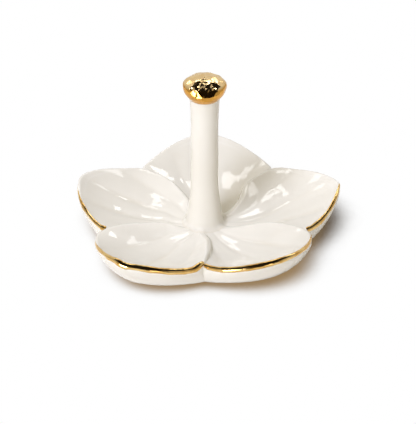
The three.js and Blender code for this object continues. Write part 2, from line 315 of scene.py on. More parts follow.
@dataclass(frozen=True)
class IvoryGlaze(Finish):
    """Glossy ivory glaze, which breaks paler on edges and pools warmer in folds. The paler colour also
    carries a painted highlight on the ridges, and the warmer one painted shade in the folds.
    """

    name: str = "ivory_glaze"
    plain: Colour = (0.885, 0.855, 0.775)
    broken_and_highlight: Colour = (0.95, 0.93, 0.875)
    pooled_and_shaded: Colour = (0.80, 0.745, 0.62)
    speck: Colour = (0.62, 0.53, 0.4)
    refraction: float = 1.52
    roughness: float = 0.045
    roughness_spread: float = 0.05
    roughness_middle: float = 0.4
    ripple: float = 0.00008
    fine_ripple_share: float = 0.06
    cloud_size: float = 0.018
    fine_size: float = 0.0024
    swell_size: float = 0.0065
    cloud_share: float = 0.35
    break_and_highlight_range: Range = (0.5, 0.08)
    pool_and_shade_range: Range = (0.52, 0.95)
    specks_per_metre: float = 190.0
    speck_edge: Range = (0.11, 0.03)
    speck_patches: Range = (0.6, 0.7)
    speck_strength: float = 0.3

    def surface(self, tree: Tree) -> Inputs:
        """Gives the inputs of the Principled shader.

        Args:
            tree: The material's tree.

        Returns:
            The inputs by name.
        """
        place = self.place(tree)
        pool_and_shade = tree.add("ShaderNodeAttribute", {"attribute_name": "pool_and_shade"}, None, "Fac")
        cloud = tree.noise(place, self.cloud_size, 3.0)
        fine = tree.noise(place, self.fine_size, 3.0)
        depth = pool_and_shade + (cloud - 0.5) * self.cloud_share
        # Painted light: the pale colour where the mask is low is partly a painted highlight on ridges, and
        # the warm colour where it is high is partly painted shade in folds.
        colour = tree.blend(depth.step(*self.break_and_highlight_range), self.plain, self.broken_and_highlight)
        colour = tree.blend(depth.step(*self.pool_and_shade_range), colour, self.pooled_and_shaded)
        cells = {"Vector": place, "Scale": self.specks_per_metre, "Randomness": 1.0}
        spot = tree.add("ShaderNodeTexVoronoi", {"feature": "F1"}, cells)
        specks = spot.step(*self.speck_edge) * fine.step(*self.speck_patches) * self.speck_strength
        swell = tree.bump(tree.noise(place, self.swell_size, 1.0), self.ripple)
        return {
            "Base Color": tree.blend(specks, colour, self.speck),
            "Roughness": self.roughness + (fine - self.roughness_middle) * self.roughness_spread,
            "Normal": tree.bump(fine, self.ripple * self.fine_ripple_share, swell),
            "IOR": self.refraction,
        }


@dataclass(frozen=True)
class GoldLustre(Finish):
    """Bright gold lustre, fired on the glaze, brushed on by hand and a little thin in places."""

    name: str = "gold_lustre"
    bright: Colour = (0.86, 0.60, 0.24)
    deep: Colour = (0.70, 0.40, 0.10)
    deep_range: Range = (0.35, 0.7)
    roughness: float = 0.13
    brush_size: float = 0.004
    brush_depth: float = 0.00008
    brush_roughness: float = 0.07
    brush_range: Range = (0.4, 0.75)
    grain_size: float = 0.0004
    grain_depth: float = 0.000004
    grain_roughness: float = 0.06

    def surface(self, tree: Tree) -> Inputs:
        """Gives the inputs of the Principled shader.

        Args:
            tree: The material's tree.

        Returns:
            The inputs by name.
        """
        place = self.place(tree)
        brushed = tree.noise(place, self.brush_size)
        grain = tree.noise(place, self.grain_size)
        rough = self.roughness + brushed.step(*self.brush_range) * self.brush_roughness
        return {
            "Base Color": tree.blend(brushed.step(*self.deep_range), self.bright, self.deep),
            "Metallic": 1.0,
            "Roughness": rough + (grain - 0.5) * self.grain_roughness,
            "Normal": tree.bump(grain, self.grain_depth, tree.bump(brushed, self.brush_depth)),
        }


@dataclass(frozen=True)
class KnobLustre(GoldLustre):
    """Gold lustre that is pale on the knob's cap, with a deeper orange painted on its belly below a height
    as a painted reflection of the warm table.
    """

    name: str = "knob_lustre"
    bright: Colour = (0.96, 0.70, 0.35)
    deep: Colour = (0.86, 0.58, 0.25)
    roughness: float = 0.1
    brush_size: float = 0.0022
    brush_depth: float = 0.00014
    painted_belly_reflection: Colour = (0.78, 0.40, 0.075)
    belly_reflection_top: float = 0.068
    belly_reflection_fade: float = 0.0009

    def surface(self, tree: Tree) -> Inputs:
        """Gives the inputs of the Principled shader.

        Args:
            tree: The material's tree.

        Returns:
            The inputs by name.
        """
        inputs = super().surface(tree)
        # Painted reflection: below a height the colour turns to the belly's orange, the warm table mirrored
        # there.
        level = tree.axis(self.place(tree), "Z")
        low = level.step(self.belly_reflection_top, self.belly_reflection_top - self.belly_reflection_fade)
        inputs["Base Color"] = tree.blend(low, inputs["Base Color"], self.painted_belly_reflection)
        return inputs


@dataclass(frozen=True)
class BareClay(Finish):
    """Unglazed white clay, wiped with a sponge and ground flat where it stands."""

    name: str = "bare_clay"
    pale: Colour = (0.72, 0.66, 0.56)
    dark: Colour = (0.56, 0.48, 0.37)
    pit: Colour = (0.35, 0.26, 0.17)
    dark_range: Range = (0.3, 0.75)
    pit_range: Range = (0.62, 0.72)
    pit_strength: float = 0.45
    cloud_size: float = 0.006
    grain_size: float = 0.0005
    grain_depth: float = 0.00006
    roughness: float = 0.78
    grain_roughness: float = 0.15

    def surface(self, tree: Tree) -> Inputs:
        """Gives the inputs of the Principled shader.

        Args:
            tree: The material's tree.

        Returns:
            The inputs by name.
        """
        place = self.place(tree)
        cloud = tree.noise(place, self.cloud_size, 4.0, 0.6)
        grain = tree.noise(place, self.grain_size, 3.0, 0.7)
        colour = tree.blend(cloud.step(*self.dark_range), self.pale, self.dark)
        pits = grain.step(*self.pit_range) * self.pit_strength
        return {
            "Base Color": tree.blend(pits, colour, self.pit),
            "Roughness": self.roughness + grain * self.grain_roughness,
            "Normal": tree.bump(grain, self.grain_depth),
        }


@dataclass(frozen=True)
class Waver:
    """A gentle unevenness left by the hands, the same every time it is read."""

    size: float
    depth: float
    seed: int
    waves: int = 9
    size_shares: Range = (0.6, 1.4)

    def at(self, x: Array, y: Array, z: Union[Array, float] = 0.0) -> Array:
        """Reads the unevenness.

        Args:
            x: Places along X in millimetres.
            y: Places along Y.
            z: Places along Z.

        Returns:
            Its depth at each place in millimetres.
        """
        random = np.random.default_rng(self.seed)
        total = 0.0
        for _ in range(self.waves):
            way = random.normal(size=3)
            way *= 2 * math.pi / self.size * random.uniform(*self.size_shares) / np.linalg.norm(way)
            shift = random.uniform(0, 2 * math.pi)
            total = total + np.sin(way[0] * x + way[1] * y + way[2] * z + shift)
        return self.depth * total / math.sqrt(self.waves)


class Shape:
    """A closed mesh that is put together from grids and strips of points, in millimetres."""

    def __init__(self) -> None:
        """Starts with nothing."""
        self.points: list[Array] = []
        self.faces: list[tuple[int, ...]] = []
        self.count = 0

    def add_points(self, points: Array) -> Array:
        """Adds points.

        Args:
            points: The points, in a grid of any shape.

        Returns:
            Their numbers, in a grid of the same shape.
        """
        flat = points.reshape(-1, 3)
        numbers = np.arange(self.count, self.count + len(flat)).reshape(points.shape[:-1])
        self.points.append(flat)
        self.count += len(flat)
        return numbers

    def add_grid(self, numbers: Array, closed: bool = False) -> None:
        """Fills a grid of points with four-sided faces.

        Args:
            numbers: The points' numbers, row by row.
            closed: Whether each row is a ring.
        """
        if closed:
            numbers = np.concatenate([numbers, numbers[:, :1]], axis=1)
        a, b = numbers[:-1, :-1], numbers[1:, :-1]
        c, d = numbers[1:, 1:], numbers[:-1, 1:]
        self.faces += [tuple(f) for f in np.stack([a, b, c, d], axis=-1).reshape(-1, 4).tolist()]

    def add_fan(self, ring: Array, middle: int) -> None:
        """Covers a ring of points with triangles round a middle point.

        Args:
            ring: The numbers of the ring's points.
            middle: The number of the middle point.
        """
        numbers = ring.tolist()
        for a, b in zip(numbers, numbers[1:] + numbers[:1]):
            self.faces.append((a, b, middle))

    def add_turned(self, rings: Array, low: float, high: float) -> Array:
        """Fills rings about the post's axis, with a middle point below and above them.

        Args:
            rings: The rings' points, from the lowest ring to the highest.
            low: Height of the middle point below.
            high: Height of the middle point above.

        Returns:
            The numbers of the rings' points.
        """
        numbers = self.add_points(rings)
        self.add_grid(numbers, closed=True)
        ends = self.add_points(np.array([[0.0, 0.0, low], [0.0, 0.0, high]]))
        self.add_fan(numbers[0][::-1], int(ends[0]))
        self.add_fan(numbers[-1], int(ends[1]))
        return numbers

    def add_zip(self, first: list[int], second: list[int]) -> None:
        """Joins two lines of points, of any lengths, that run side by side.

        Args:
            first: The numbers of the one line's points.
            second: The numbers of the other's.
        """
        i = j = 0
        while i < len(first) - 1 or j < len(second) - 1:
            take_first = j == len(second) - 1 or (i < len(first) - 1 and i / len(first) <= j / len(second))
            if take_first:
                self.faces.append((first[i], second[j], first[i + 1]))
                i += 1
            else:
                self.faces.append((first[i], second[j], second[j + 1]))
                j += 1

    def mesh(self, name: str) -> bpy.types.Mesh:
        """Makes the mesh in metres, with its faces outwards.

        Args:
            name: Name for the mesh.

        Returns:
            The mesh.
        """
        points = np.concatenate(self.points) * MM
        mesh = bpy.data.meshes.new(name)
        mesh.from_pydata(points.tolist(), [], self.faces)
        mesh.validate()
        mesh.update()
        volume = 0.0
        for polygon in mesh.polygons:
            corners = points[list(polygon.vertices)]
            for k in range(1, len(corners) - 1):
                volume += float(np.dot(corners[0], np.cross(corners[k], corners[k + 1])))
        if volume < 0:
            mesh.flip_normals()
        mesh.polygons.foreach_set("use_smooth", [True] * len(mesh.polygons))
        return mesh


def write_attribute(mesh: bpy.types.Mesh, name: str, values: Array) -> None:
    """Gives each point of a mesh a number under a name."""
    mesh.attributes.new(name, "FLOAT", "POINT").data.foreach_set("value", values)


def new_object(name: str, data: bpy.types.ID) -> bpy.types.Object:
    """Makes an object of some data and puts it in the scene.

    Args:
        name: Name for the object.
        data: Its mesh, lamp or camera.

    Returns:
        The object.
    """
    made = bpy.data.objects.new(name, data)
    bpy.context.scene.collection.objects.link(made)
    return made


@dataclass
class Piece:
    """A finished piece of the ring holder."""

    name: str
    node: str
    slot: str
    finish: Finish

    def dress(self, mesh: bpy.types.Mesh) -> bpy.types.Object:
        """Makes the piece's object, gives it its finish and sets it on the frame.

        Args:
            mesh: Its finished mesh in metres.

        Returns:
            The object.
        """
        made = new_object(self.name, mesh)
        mesh.materials.clear()
        mesh.materials.append(self.finish.material())
        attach(made, "root")
        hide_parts(self.node)
        log.info("%s: %d faces, stands for %s", self.name, len(mesh.polygons), self.node)
        return made


@dataclass(frozen=True)
class DishSizes:
    """Sizes that all the petals share. They are those of the CAD model."""

    tuck: float = 2.5
    inner_radius: float = 7.3
    cleft_radius: float = 41.8
    tip_radius: float = 54.0
    corner_reach: float = 4.6
    ridge_bulge: float = 2.0
    ridge_roll: float = 2.0
    tucked_roll: float = 0.8
    turn_reach: float = 6.7
    floor_height: float = 1.5
    well_height: float = 5.3
    hub_height: float = 6.6
    cleft_height: float = 11.1
    tip_height: float = 15.3
    ridge_step: float = 1.4
    vein_depth: float = 0.4
    lip_radius: float = 1.2
    lip_face: float = 0.8
    base_inset: float = 6.0
    base_lobe: float = 3.2
    well_share: float = 0.45
    rim_rise: float = 3.2
    cross_fullness: float = 2.2
    ridge_rise: float = 0.9
    step_share: float = 0.35
    hub_edge_share: float = 0.35
    overlap_share: float = 0.25
    taper_start_share: float = 0.55
    taper_share: float = 0.75
    roll_drop_share: float = 0.8
    vein_width_share: float = 0.05
    vein_fade_rise: float = 0.7
    wall_lean_share: float = 0.95
    offset_x: float = -1.6
    offset_y: float = -3.0


@dataclass(frozen=True)
class Seam:
    """The line where two petals meet, with shares that vary the dish's sizes along it."""

    angle: float
    turn: float
    radius_share: float
    height_share: float
    bulge_share: float
    step_share: float
    turn_share: float
    sizes: DishSizes = DishSizes()

    @property
    def radius(self) -> float:
        """Radius of its cleft."""
        return self.sizes.cleft_radius * self.radius_share

    @property
    def height(self) -> float:
        """Height of its cleft."""
        return self.sizes.cleft_height * self.height_share

    @property
    def step(self) -> float:
        """How far the lower petal lies below the upper one's ridge."""
        return self.sizes.ridge_step * self.step_share

    def overlap(self, lap: Lap, radius: Array) -> Array:
        """How far a petal's edge runs past the seam's middle line.

        Args:
            lap: How the edge lies on its neighbour.
            radius: Places along the seam.

        Returns:
            The lengths across the seam there, in millimetres.
        """
        z = self.sizes
        k = clamp((radius - z.inner_radius) / (self.radius - z.inner_radius))
        grown = mix(z.hub_edge_share, 1, smooth(k / z.overlap_share))
        if lap is Lap.UNDER:
            return z.tuck * grown
        taper = 1 - z.taper_share * smooth((k - z.taper_start_share) / (1 - z.taper_start_share))
        return z.ridge_roll * grown * taper + z.ridge_bulge * self.bulge_share * np.sin(math.pi * k)

    def edge(self, lap: Lap, side: Side, s: Array) -> Array:
        """Where a petal's edge runs.

        Args:
            lap: How the edge lies on its neighbour.
            side: Which of the petal's edges it is.
            s: Places from the hub to the rim.

        Returns:
            The edge's angles there, in degrees.
        """
        z = self.sizes
        radius = mix(z.inner_radius, self.radius - z.corner_reach, s)
        turned = 1 - smooth((radius - z.inner_radius) / (z.turn_reach * self.turn_share))
        overlap = np.degrees(self.overlap(lap, radius) / radius)
        return self.angle + self.turn * turned + side.value * overlap


@dataclass(frozen=True)
class PetalShape:
    """What sets one petal apart from the others. A bump of its rim is a place and a reach across
    the petal, and a rise in millimetres."""

    name: str
    tip_angle: float
    start_lap: Lap
    end_lap: Lap
    tip_radius_share: float
    tip_height_share: float
    nose_share: float
    fullness: float
    lobe_share: float
    vein_shares: tuple[float, ...]
    start_radius_share: float = 1.0
    end_radius_share: float = 1.0
    bumps: tuple[tuple[float, float, float], ...] = ()
    gold_start: float = 0.42
    gold_end: float = 0.42
    gold_breadth: float = 1.0


@dataclass
class Petal:
    """One petal: a hollow with folds, a rolled or tucked edge on each side and a round lip."""

    sizes: DishSizes
    shape: PetalShape
    start: Seam
    end: Seam
    rows: int = 74
    lip_rows: int = 16
    columns: int = 104
    wall_rows: int = 26
    floor_rows: int = 8
    edge_points: int = 160
    corner_points: int = 40
    rim_points: int = 520
    ridge_points: int = 300
    batch: int = 2000
    settling_start: float = 0.05
    settling_share: float = 0.7
    settling_rounds: int = 12
    floor_rounds: int = 3
    above_all: float = 0.05
    lip_band: float = 0.065
    crowding: float = 0.55
    cleft_fill: float = 2.5
    cleft_base: float = 1.2
    cleft_base_share: float = 0.5
    calm_share: float = 0.25
    floor_lap: float = 0.28
    hidden_margin: float = 0.6
    fillet_inset: float = 0.55
    fillet_reach: float = 1.15
    fillet_columns: int = 8
    fillet_sink: float = 0.02
    probe: float = 0.2
    steepest_fall: float = 0.8
    steepest_probe: float = 0.5
    tail: float = 0.12
    tail_depth: float = 0.5
    plain_pool: float = 0.42
    pool_rounds: int = 14
    pool_and_shade_strength: float = 1.6
    uneven: Waver = Waver(13, 0.05, 11)
    faces_up: Optional[BVHTree] = field(default=None, repr=False)

    def __post_init__(self) -> None:
        """Works out where the rim starts and ends."""
        self.start_rim = float(self.start.edge(self.shape.start_lap, Side.START, 1.0))
        self.end_rim = float(self.end.edge(self.shape.end_lap, Side.END, 1.0))
        width = math.radians(self.end_rim - self.start_rim) * self.sizes.cleft_radius
        self.corner_share = self.sizes.corner_reach / width

    def rim(self, t: Array) -> tuple[Array, Array, Array, Array]:
        """The rim before and after its corners are rounded.

        Args:
            t: Places across the petal, from its start to its end.

        Returns:
            The rim's radius, its height, how far along it is to the tip, and its radius with
            rounded corners.
        """
        z, shape = self.sizes, self.shape
        angle = mix(self.start_rim, self.end_rim, t)
        first = angle < shape.tip_angle
        seam_angle = np.where(first, self.start.angle, self.end.angle)
        along = clamp((angle - seam_angle) / (shape.tip_angle - seam_angle))
        nose = shape.nose_share
        blunt = (np.hypot(1 - along, nose) - nose) / (math.hypot(1, nose) - nose)
        cleft = np.where(
            first, self.start.radius * shape.start_radius_share, self.end.radius * shape.end_radius_share
        )
        radius = mix(cleft, z.tip_radius * shape.tip_radius_share, 1 - blunt ** shape.fullness)
        height = mix(
            np.where(first, self.start.height, self.end.height),
            z.tip_height * shape.tip_height_share, smooth(along),
        )
        for place, reach, rise in shape.bumps:
            height = height + rise * np.exp(-(((t - place) / reach) ** 2))
        corner = np.maximum(self.corner_share - t, t - 1 + self.corner_share) / self.corner_share
        return radius, height, along, radius - z.corner_reach * round_off(corner)

    @property
    def sides(self) -> tuple[tuple[Seam, Lap], ...]:
        """The seam and the lap at its start and at its end."""
        return (self.start, self.shape.start_lap), (self.end, self.shape.end_lap)

    def angles(self, s: Array) -> tuple[Array, Array]:
        """The angles of the two edges, in degrees."""
        first = self.start.edge(self.shape.start_lap, Side.START, s)
        return first, self.end.edge(self.shape.end_lap, Side.END, s)

    def plan(self, s: Array, t: Array) -> tuple[Array, Array, Array]:
        """Finds the places of points in plan.

        Args:
            s: Places from the hub to the rim.
            t: Places across the petal.

        Returns:
            Their X and Y, and their radius from the post.
        """
        first, last = self.angles(s)
        radius = mix(self.sizes.inner_radius, self.rim(t)[3], s)
        angle = np.radians(mix(first, last, t))
        return radius * np.cos(angle), radius * np.sin(angle), radius

    def hollow(self, s: Array, t: Array) -> Array:
        """Shapes the upper face, before the lip and the rolled edges are rounded.

        Args:
            s: Places from the hub to the rim.
            t: Places across the petal.

        Returns:
            The face's heights there.
        """
        z = self.sizes
        first, last = self.angles(s)
        rim_radius, rim_height, _, outline = self.rim(t)
        radius = mix(z.inner_radius, outline, s)
        outward = clamp((radius - z.inner_radius) / (rim_radius - z.inner_radius))
        width = np.radians(last - first) * radius
        start_roll, end_roll = (z.ridge_roll if lap is Lap.OVER else z.tucked_roll for _, lap in self.sides)
        place = clamp((t * width - start_roll) / (width - start_roll - end_roll))
        deep = 1 - np.abs(2 * place - 1) ** z.cross_fullness
        down = smooth(outward / z.step_share)
        rise = np.sin(math.pi / 2 * outward) ** z.ridge_rise
        ridges = []
        for seam, lap in self.sides:
            step = 0 if lap is Lap.OVER else seam.step
            ridges.append(mix(z.hub_height, seam.height, rise) - step * down)
        well = mix(z.hub_height, z.well_height, smooth(outward / z.well_share))
        body = mix(mix(*ridges, t), well, deep)
        top = mix(body, rim_height, outward ** z.rim_rise)
        fade = np.sin(math.pi * clamp(outward)) ** z.vein_fade_rise
        for vein in self.shape.vein_shares:
            top = top - z.vein_depth * fade * np.exp(-(((t - vein) / z.vein_width_share) ** 2))
        x, y, _ = self.plan(s, t)
        return top + self.uneven.at(x, y) * smooth(outward / self.calm_share)

    def edge_line(self, side: Side) -> tuple[Array, Array]:
        """The petal's edge at one side and round the corner there.

        Args:
            side: Which edge.

        Returns:
            Its radii, rising, and its angles in degrees at them.
        """
        s = np.linspace(0, 1, self.edge_points)
        t = np.abs(side.place - np.linspace(0, self.corner_share, self.corner_points)[1:])
        edge_rim = self.rim(np.full_like(s, side.place))[3]
        radii = np.concatenate([mix(self.sizes.inner_radius, edge_rim, s), self.rim(t)[3]])
        angles = np.concatenate([self.angles(s)[side.place], mix(self.start_rim, self.end_rim, t)])
        order = np.argsort(radii, kind="stable")
        return radii[order], angles[order]

    def covered_to(self, upper: "Petal", side: Side, s: Array) -> Array:
        """Where the upper neighbour's edge crosses this petal.

        Args:
            upper: The neighbour that lies over this petal.
            side: The side of this petal on which it lies.
            s: Places from the hub to the rim.

        Returns:
            The place across this petal, a little under the neighbour's edge.
        """
        radii, angles = upper.edge_line(side.facing)
        ahead = self.shape.tip_angle - upper.shape.tip_angle
        turns = 360 * round(ahead / 360)
        if abs(ahead - turns) > 180:
            turns += 360
        first, last = self.angles(s)
        t = np.full_like(s, abs(side.place - self.settling_start))
        for _ in range(self.settling_rounds):
            radius = mix(self.sizes.inner_radius, self.rim(t)[3], s)
            line = np.interp(radius, radii, angles) + turns
            line = line + side.value * np.degrees(self.hidden_margin / radius)
            t = clamp(mix(t, (line - first) / (last - first), self.settling_share))
        return t

    def rounds_in_plan(self) -> list[tuple[Array, Array, Array]]:
        """Sets out the rounded edges in plan.

        Returns:
            The line of each edge, and its round's width and depth along it.
        """
        z = self.sizes
        t = np.linspace(0, 1, self.rim_points)
        width = np.full_like(t, z.lip_radius)
        depth = width.copy()
        drop = z.ridge_roll * z.roll_drop_share
        for (_, lap), near in zip(self.sides, (t, 1 - t)):
            if lap is Lap.OVER:
                k = smooth(1 - near / self.corner_share)
                width = mix(width, z.ridge_roll, k)
                depth = mix(depth, drop, k)
        edges = [(np.stack(self.plan(np.ones_like(t), t)[:2], axis=-1), width, depth)]
        s = np.linspace(0, 1, self.ridge_points)
        for (_, lap), side in zip(self.sides, Side):
            if lap is Lap.OVER:
                line = np.stack(self.plan(s, np.full_like(s, side.place))[:2], axis=-1)
                edges.append((line, np.full_like(s, z.ridge_roll), drop * smooth(s / z.step_share)))
        return edges

    def distance(self, x: Array, y: Array) -> tuple[Array, Array, Array]:
        """The true distance in plan from the petal's outline, with the round it has there.

        Args:
            x: Places in plan.
            y: Places in plan.

        Returns:
            The distance, and the width and the depth of the round of the nearest edge.
        """
        points = np.stack([x.ravel(), y.ravel()], axis=-1)
        best = np.full(len(points), np.inf)
        widths, depths = np.ones(len(points)), np.ones(len(points))
        for line, width, depth in self.rounds_in_plan():
            for begin in range(0, len(points), self.batch):
                part = slice(begin, begin + self.batch)
                away, i, k = nearest_on_line(points[part], line)
                better = away < best[part]
                best[part] = np.where(better, away, best[part])
                widths[part] = np.where(better, mix(width[i], width[i + 1], k), widths[part])
                depths[part] = np.where(better, mix(depth[i], depth[i + 1], k), depths[part])
        return best.reshape(x.shape), widths.reshape(x.shape), depths.reshape(x.shape)

    @staticmethod
    def drop_onto(petals: list["Petal"], x: Array, y: Array) -> Array:
        """Drops points in plan onto petals.

        Args:
            petals: The petals, which are built already.
            x: Places in plan.
            y: Places in plan.

        Returns:
            The height of the highest petal below each point, or -1 where there is none.
        """
        heights = np.full(x.shape, -1.0)
        for index in np.ndindex(x.shape):
            for petal in petals:
                above = Vector((x[index] * MM, y[index] * MM, petal.above_all))
                hit = petal.faces_up.ray_cast(above, Vector((0, 0, -1)))[0]
                if hit:
                    heights[index] = max(heights[index], hit.z / MM)
        return heights

    def fillet(self, grid: Array, side: Side, lower: "Petal") -> Array:
        """Columns of points that run from the rolled edge out onto the lower petal.

        Args:
            grid: The upper face's points, row by row from the hub to the rim.
            side: The side to leave from.
            lower: The petal below.

        Returns:
            The points, row by row, from the edge outwards.
        """
        near, back = (0, 1) if side is Side.START else (-1, -2)
        edge, top = grid[:, near, :2], grid[:, near, 2]
        out = edge - grid[:, back, :2]
        run = np.linalg.norm(out, axis=1)
        out = out / run[:, None]
        length = self.fillet_inset + self.fillet_reach
        slope_up = (grid[:, back, 2] - top) / run
        foot, past = edge + out * length, edge + out * (length + self.probe)
        low, low_past = (self.drop_onto([lower], place[:, 0], place[:, 1]) for place in (foot, past))
        for i in range(1, len(low)):
            if low[i] < 0 or low[i] < low[i - 1] - self.steepest_fall:
                low[i] = low[i - 1]
            if low_past[i] < 0 or abs(low_past[i] - low[i]) > self.steepest_probe:
                low_past[i] = low[i]
        slope_down = (low_past - low) / self.probe
        columns = []
        for i in range(1, self.fillet_columns + 1):
            u = i / self.fillet_columns
            height = sweep_between(u, top, -slope_up * length, low - self.fillet_sink, slope_down * length)
            columns.append(np.column_stack([edge + out * length * u, height]))
        tail = edge + out * (length + self.tail)
        columns.append(np.column_stack([tail, low - self.tail_depth]))
        return np.stack(columns, axis=1)

    def floor_range(self, s: Array) -> tuple[Array, Array]:
        """Where the petal's floor starts and ends, a little past the seams' middles.

        Args:
            s: Places from the hub to the rim.

        Returns:
            The two places across the petal.
        """
        z = self.sizes
        first, last = self.angles(s)
        shares = []
        for seam, lap in self.sides:
            radius = mix(z.inner_radius, seam.radius - z.corner_reach, s)
            past = (seam.overlap(lap, radius) - self.floor_lap) / radius
            shares.append(np.degrees(past) / (last - first))
        return shares[0], 1 - shares[1]

    def wall_place(self, t: Array, up: float, inwards: float) -> tuple[Array, Array]:
        """A row of the outer wall or of the floor.

        Args:
            t: Places across the petal.
            up: How far up the wall the row lies, 0 at its foot and 1 under the lip.
            inwards: How far in across the floor it lies, 0 at the wall and 1 at the hub.

        Returns:
            The row's places from the hub to the rim, and its heights.
        """
        z = self.sizes
        rim_radius, rim_height, along, outline = self.rim(t)
        seam_base = min(self.start.radius, self.end.radius) - z.base_inset
        base = seam_base + z.base_lobe * self.shape.lobe_share * smooth(along)
        base = base + self.cleft_base * (1 - smooth(along / self.cleft_base_share))
        steepest = np.arcsin(z.wall_lean_share * clamp((outline - base) / (rim_radius - base)))
        lip_foot = rim_height - z.lip_radius - z.lip_face
        lean = np.sin(steepest * up)
        height = mix(z.floor_height, lip_foot, round_off(lean) / round_off(np.asarray(z.wall_lean_share)))
        radius = mix(base + (rim_radius - base) * lean / z.wall_lean_share, z.inner_radius, inwards)
        filled = outline + self.cleft_fill * np.maximum(lip_foot - height, 0)
        return (np.minimum(radius, filled) - z.inner_radius) / (outline - z.inner_radius), height

    def underside(self, t: Array) -> Array:
        """Sets out the points below the lip.

        Args:
            t: Places across the petal of the rim's points.

        Returns:
            Rows of points, down the outer wall and in under the petal to the hub.
        """
        even = (t - t[0]) / (t[-1] - t[0])
        rows = [(k, 0.0) for k in np.linspace(1, 0, self.wall_rows)]
        rows += [(0.0, k) for k in np.linspace(0, 1, self.floor_rows + 1)[1:]]
        points = []
        for up, inwards in rows:
            closing = smooth(np.asarray(1 - 2 * up))
            place = t
            for _ in range(self.floor_rounds):
                low, high = self.floor_range(self.wall_place(place, up, inwards)[0])
                place = mix(t, mix(low, high, even), closing)
            s, height = self.wall_place(place, up, inwards)
            x, y, _ = self.plan(s, place)
            points.append(np.stack([x, y, height], axis=-1))
        return np.stack(points)

    def lattice(self, upper: dict[Side, "Petal"]) -> tuple[Array, Array]:
        """Sets out the upper face's points, close together at the lip and at the edges.

        Args:
            upper: The neighbours that lie over the petal, by side.

        Returns:
            Grids of the points' places from the hub to the rim, and across the petal.
        """
        body = np.linspace(0, 1 - self.lip_band, self.rows)[:-1]
        s = np.concatenate([body, 1 - self.lip_band * np.linspace(1, 0, self.lip_rows) ** 2])
        first, last = self.angles(s)
        width = np.radians(last - first) * mix(self.sizes.inner_radius, self.start.radius, s)
        low = self.fillet_inset / width
        high = 1 - low
        if Side.START in upper:
            low = self.covered_to(upper[Side.START], Side.START, s)
        if Side.END in upper:
            high = self.covered_to(upper[Side.END], Side.END, s)
        even = np.linspace(0, 1, self.columns)
        share = mix(even, (1 - np.cos(math.pi * even)) / 2, self.crowding)
        t = low[:, None] + (high - low)[:, None] * share[None]
        return np.repeat(s[:, None], self.columns, axis=1), t

    def add_fillets(self, grid: Array, t: Array, lower: dict[Side, "Petal"]) -> tuple[Array, Array]:
        """Widens the upper face by the fillets that lie on the lower neighbours.

        Args:
            grid: The face's points, row by row from the hub to the rim.
            t: Their places across the petal at the rim.
            lower: The neighbours that the petal lies over, by side.

        Returns:
            The wider grid, and its places across the petal at the rim.
        """
        if Side.START in lower:
            strip = self.fillet(grid, Side.START, lower[Side.START])
            shares = np.linspace(0, 1, strip.shape[1] + 1)[:-1]
            grid = np.concatenate([strip[:, ::-1], grid], axis=1)
            t = np.concatenate([t[0] * shares, t])
        if Side.END in lower:
            strip = self.fillet(grid, Side.END, lower[Side.END])
            shares = np.linspace(1, 0, strip.shape[1] + 1)[1:]
            grid = np.concatenate([grid, strip], axis=1)
            t = np.concatenate([t, 1 - (1 - t[-1]) * shares])
        return grid, t

    def build(self, upper: dict[Side, "Petal"], lower: dict[Side, "Petal"]) -> bpy.types.Mesh:
        """Builds the petal's mesh.

        Args:
            upper: The neighbours that lie over it, by side.
            lower: The neighbours that it lies over, by side.

        Returns:
            The closed mesh, with the attribute that tells where glaze gathers, with painted shade in the
            folds, and where it breaks, with a painted highlight on the ridges.
        """
        s, t = self.lattice(upper)
        x, y, _ = self.plan(s, t)
        away, round_width, round_depth = self.distance(x, y)
        top = self.hollow(s, t) - round_depth * round_off(1 - away / round_width)
        grid, t_rim = self.add_fillets(np.stack([x, y, top], axis=-1), t[-1], lower)
        made = Shape()
        face = made.add_points(grid)
        under = made.add_points(self.underside(t_rim))
        made.add_grid(face)
        made.add_grid(under)
        made.add_grid(np.stack([face[-1], under[0]]))
        made.add_grid(np.stack([under[-1], face[0]]))
        made.add_zip(face[:, 0].tolist(), under[::-1, 0].tolist())
        made.add_zip(under[::-1, -1].tolist(), face[:, -1].tolist())
        mesh = made.mesh(self.shape.name)
        places = [vertex.co for vertex in mesh.vertices]
        self.faces_up = BVHTree.FromPolygons(places, [tuple(p.vertices) for p in mesh.polygons])
        self.mark_pools_and_shade(mesh, grid[..., 2], face)
        return mesh

    def mark_pools_and_shade(self, mesh: bpy.types.Mesh, height: Array, numbers: Array) -> None:
        """Writes where the glaze pools and shade is painted in the folds (over 0.5), and where it breaks and
        a highlight is painted on the ridges (under 0.5).

        Args:
            mesh: The petal's mesh.
            height: Heights of the upper face's points.
            numbers: The numbers of those points in the mesh.
        """
        # Hollows get the painted shade colour and ridges the painted highlight colour, from how far each
        # point lies below its smoothed neighbours.
        soft = height
        for _ in range(self.pool_rounds):
            wide = np.pad(soft, 1, mode="edge")
            across = wide[1:-1, :-2] + wide[1:-1, 2:]
            soft = (wide[1:-1, 1:-1] * 2 + wide[:-2, 1:-1] + wide[2:, 1:-1] + across) / 6
        pool_and_shade = np.full(len(mesh.vertices), self.plain_pool)
        pool_and_shade[numbers.ravel()] = clamp(0.5 + (soft - height) * self.pool_and_shade_strength).ravel()
        write_attribute(mesh, "pool_and_shade", pool_and_shade)

    def lip_line(self, count: int, start: float, end: float) -> tuple[Array, Array]:
        """The line in the middle of the lip's round.

        Args:
            count: How many points.
            start: Where they start across the petal.
            end: Where they end.

        Returns:
            The points, row by row, and the directions outwards from them.
        """
        t = np.linspace(start, end, count)
        x, y, _ = self.plan(np.ones_like(t), t)
        run = np.stack([np.gradient(x), np.gradient(y)], axis=-1)
        run /= np.linalg.norm(run, axis=1)[:, None]
        out = np.column_stack([run[:, 1], -run[:, 0], np.zeros_like(t)])
        middle = np.column_stack([x, y, self.rim(t)[1] - self.sizes.lip_radius])
        return middle - out * self.sizes.lip_radius, out


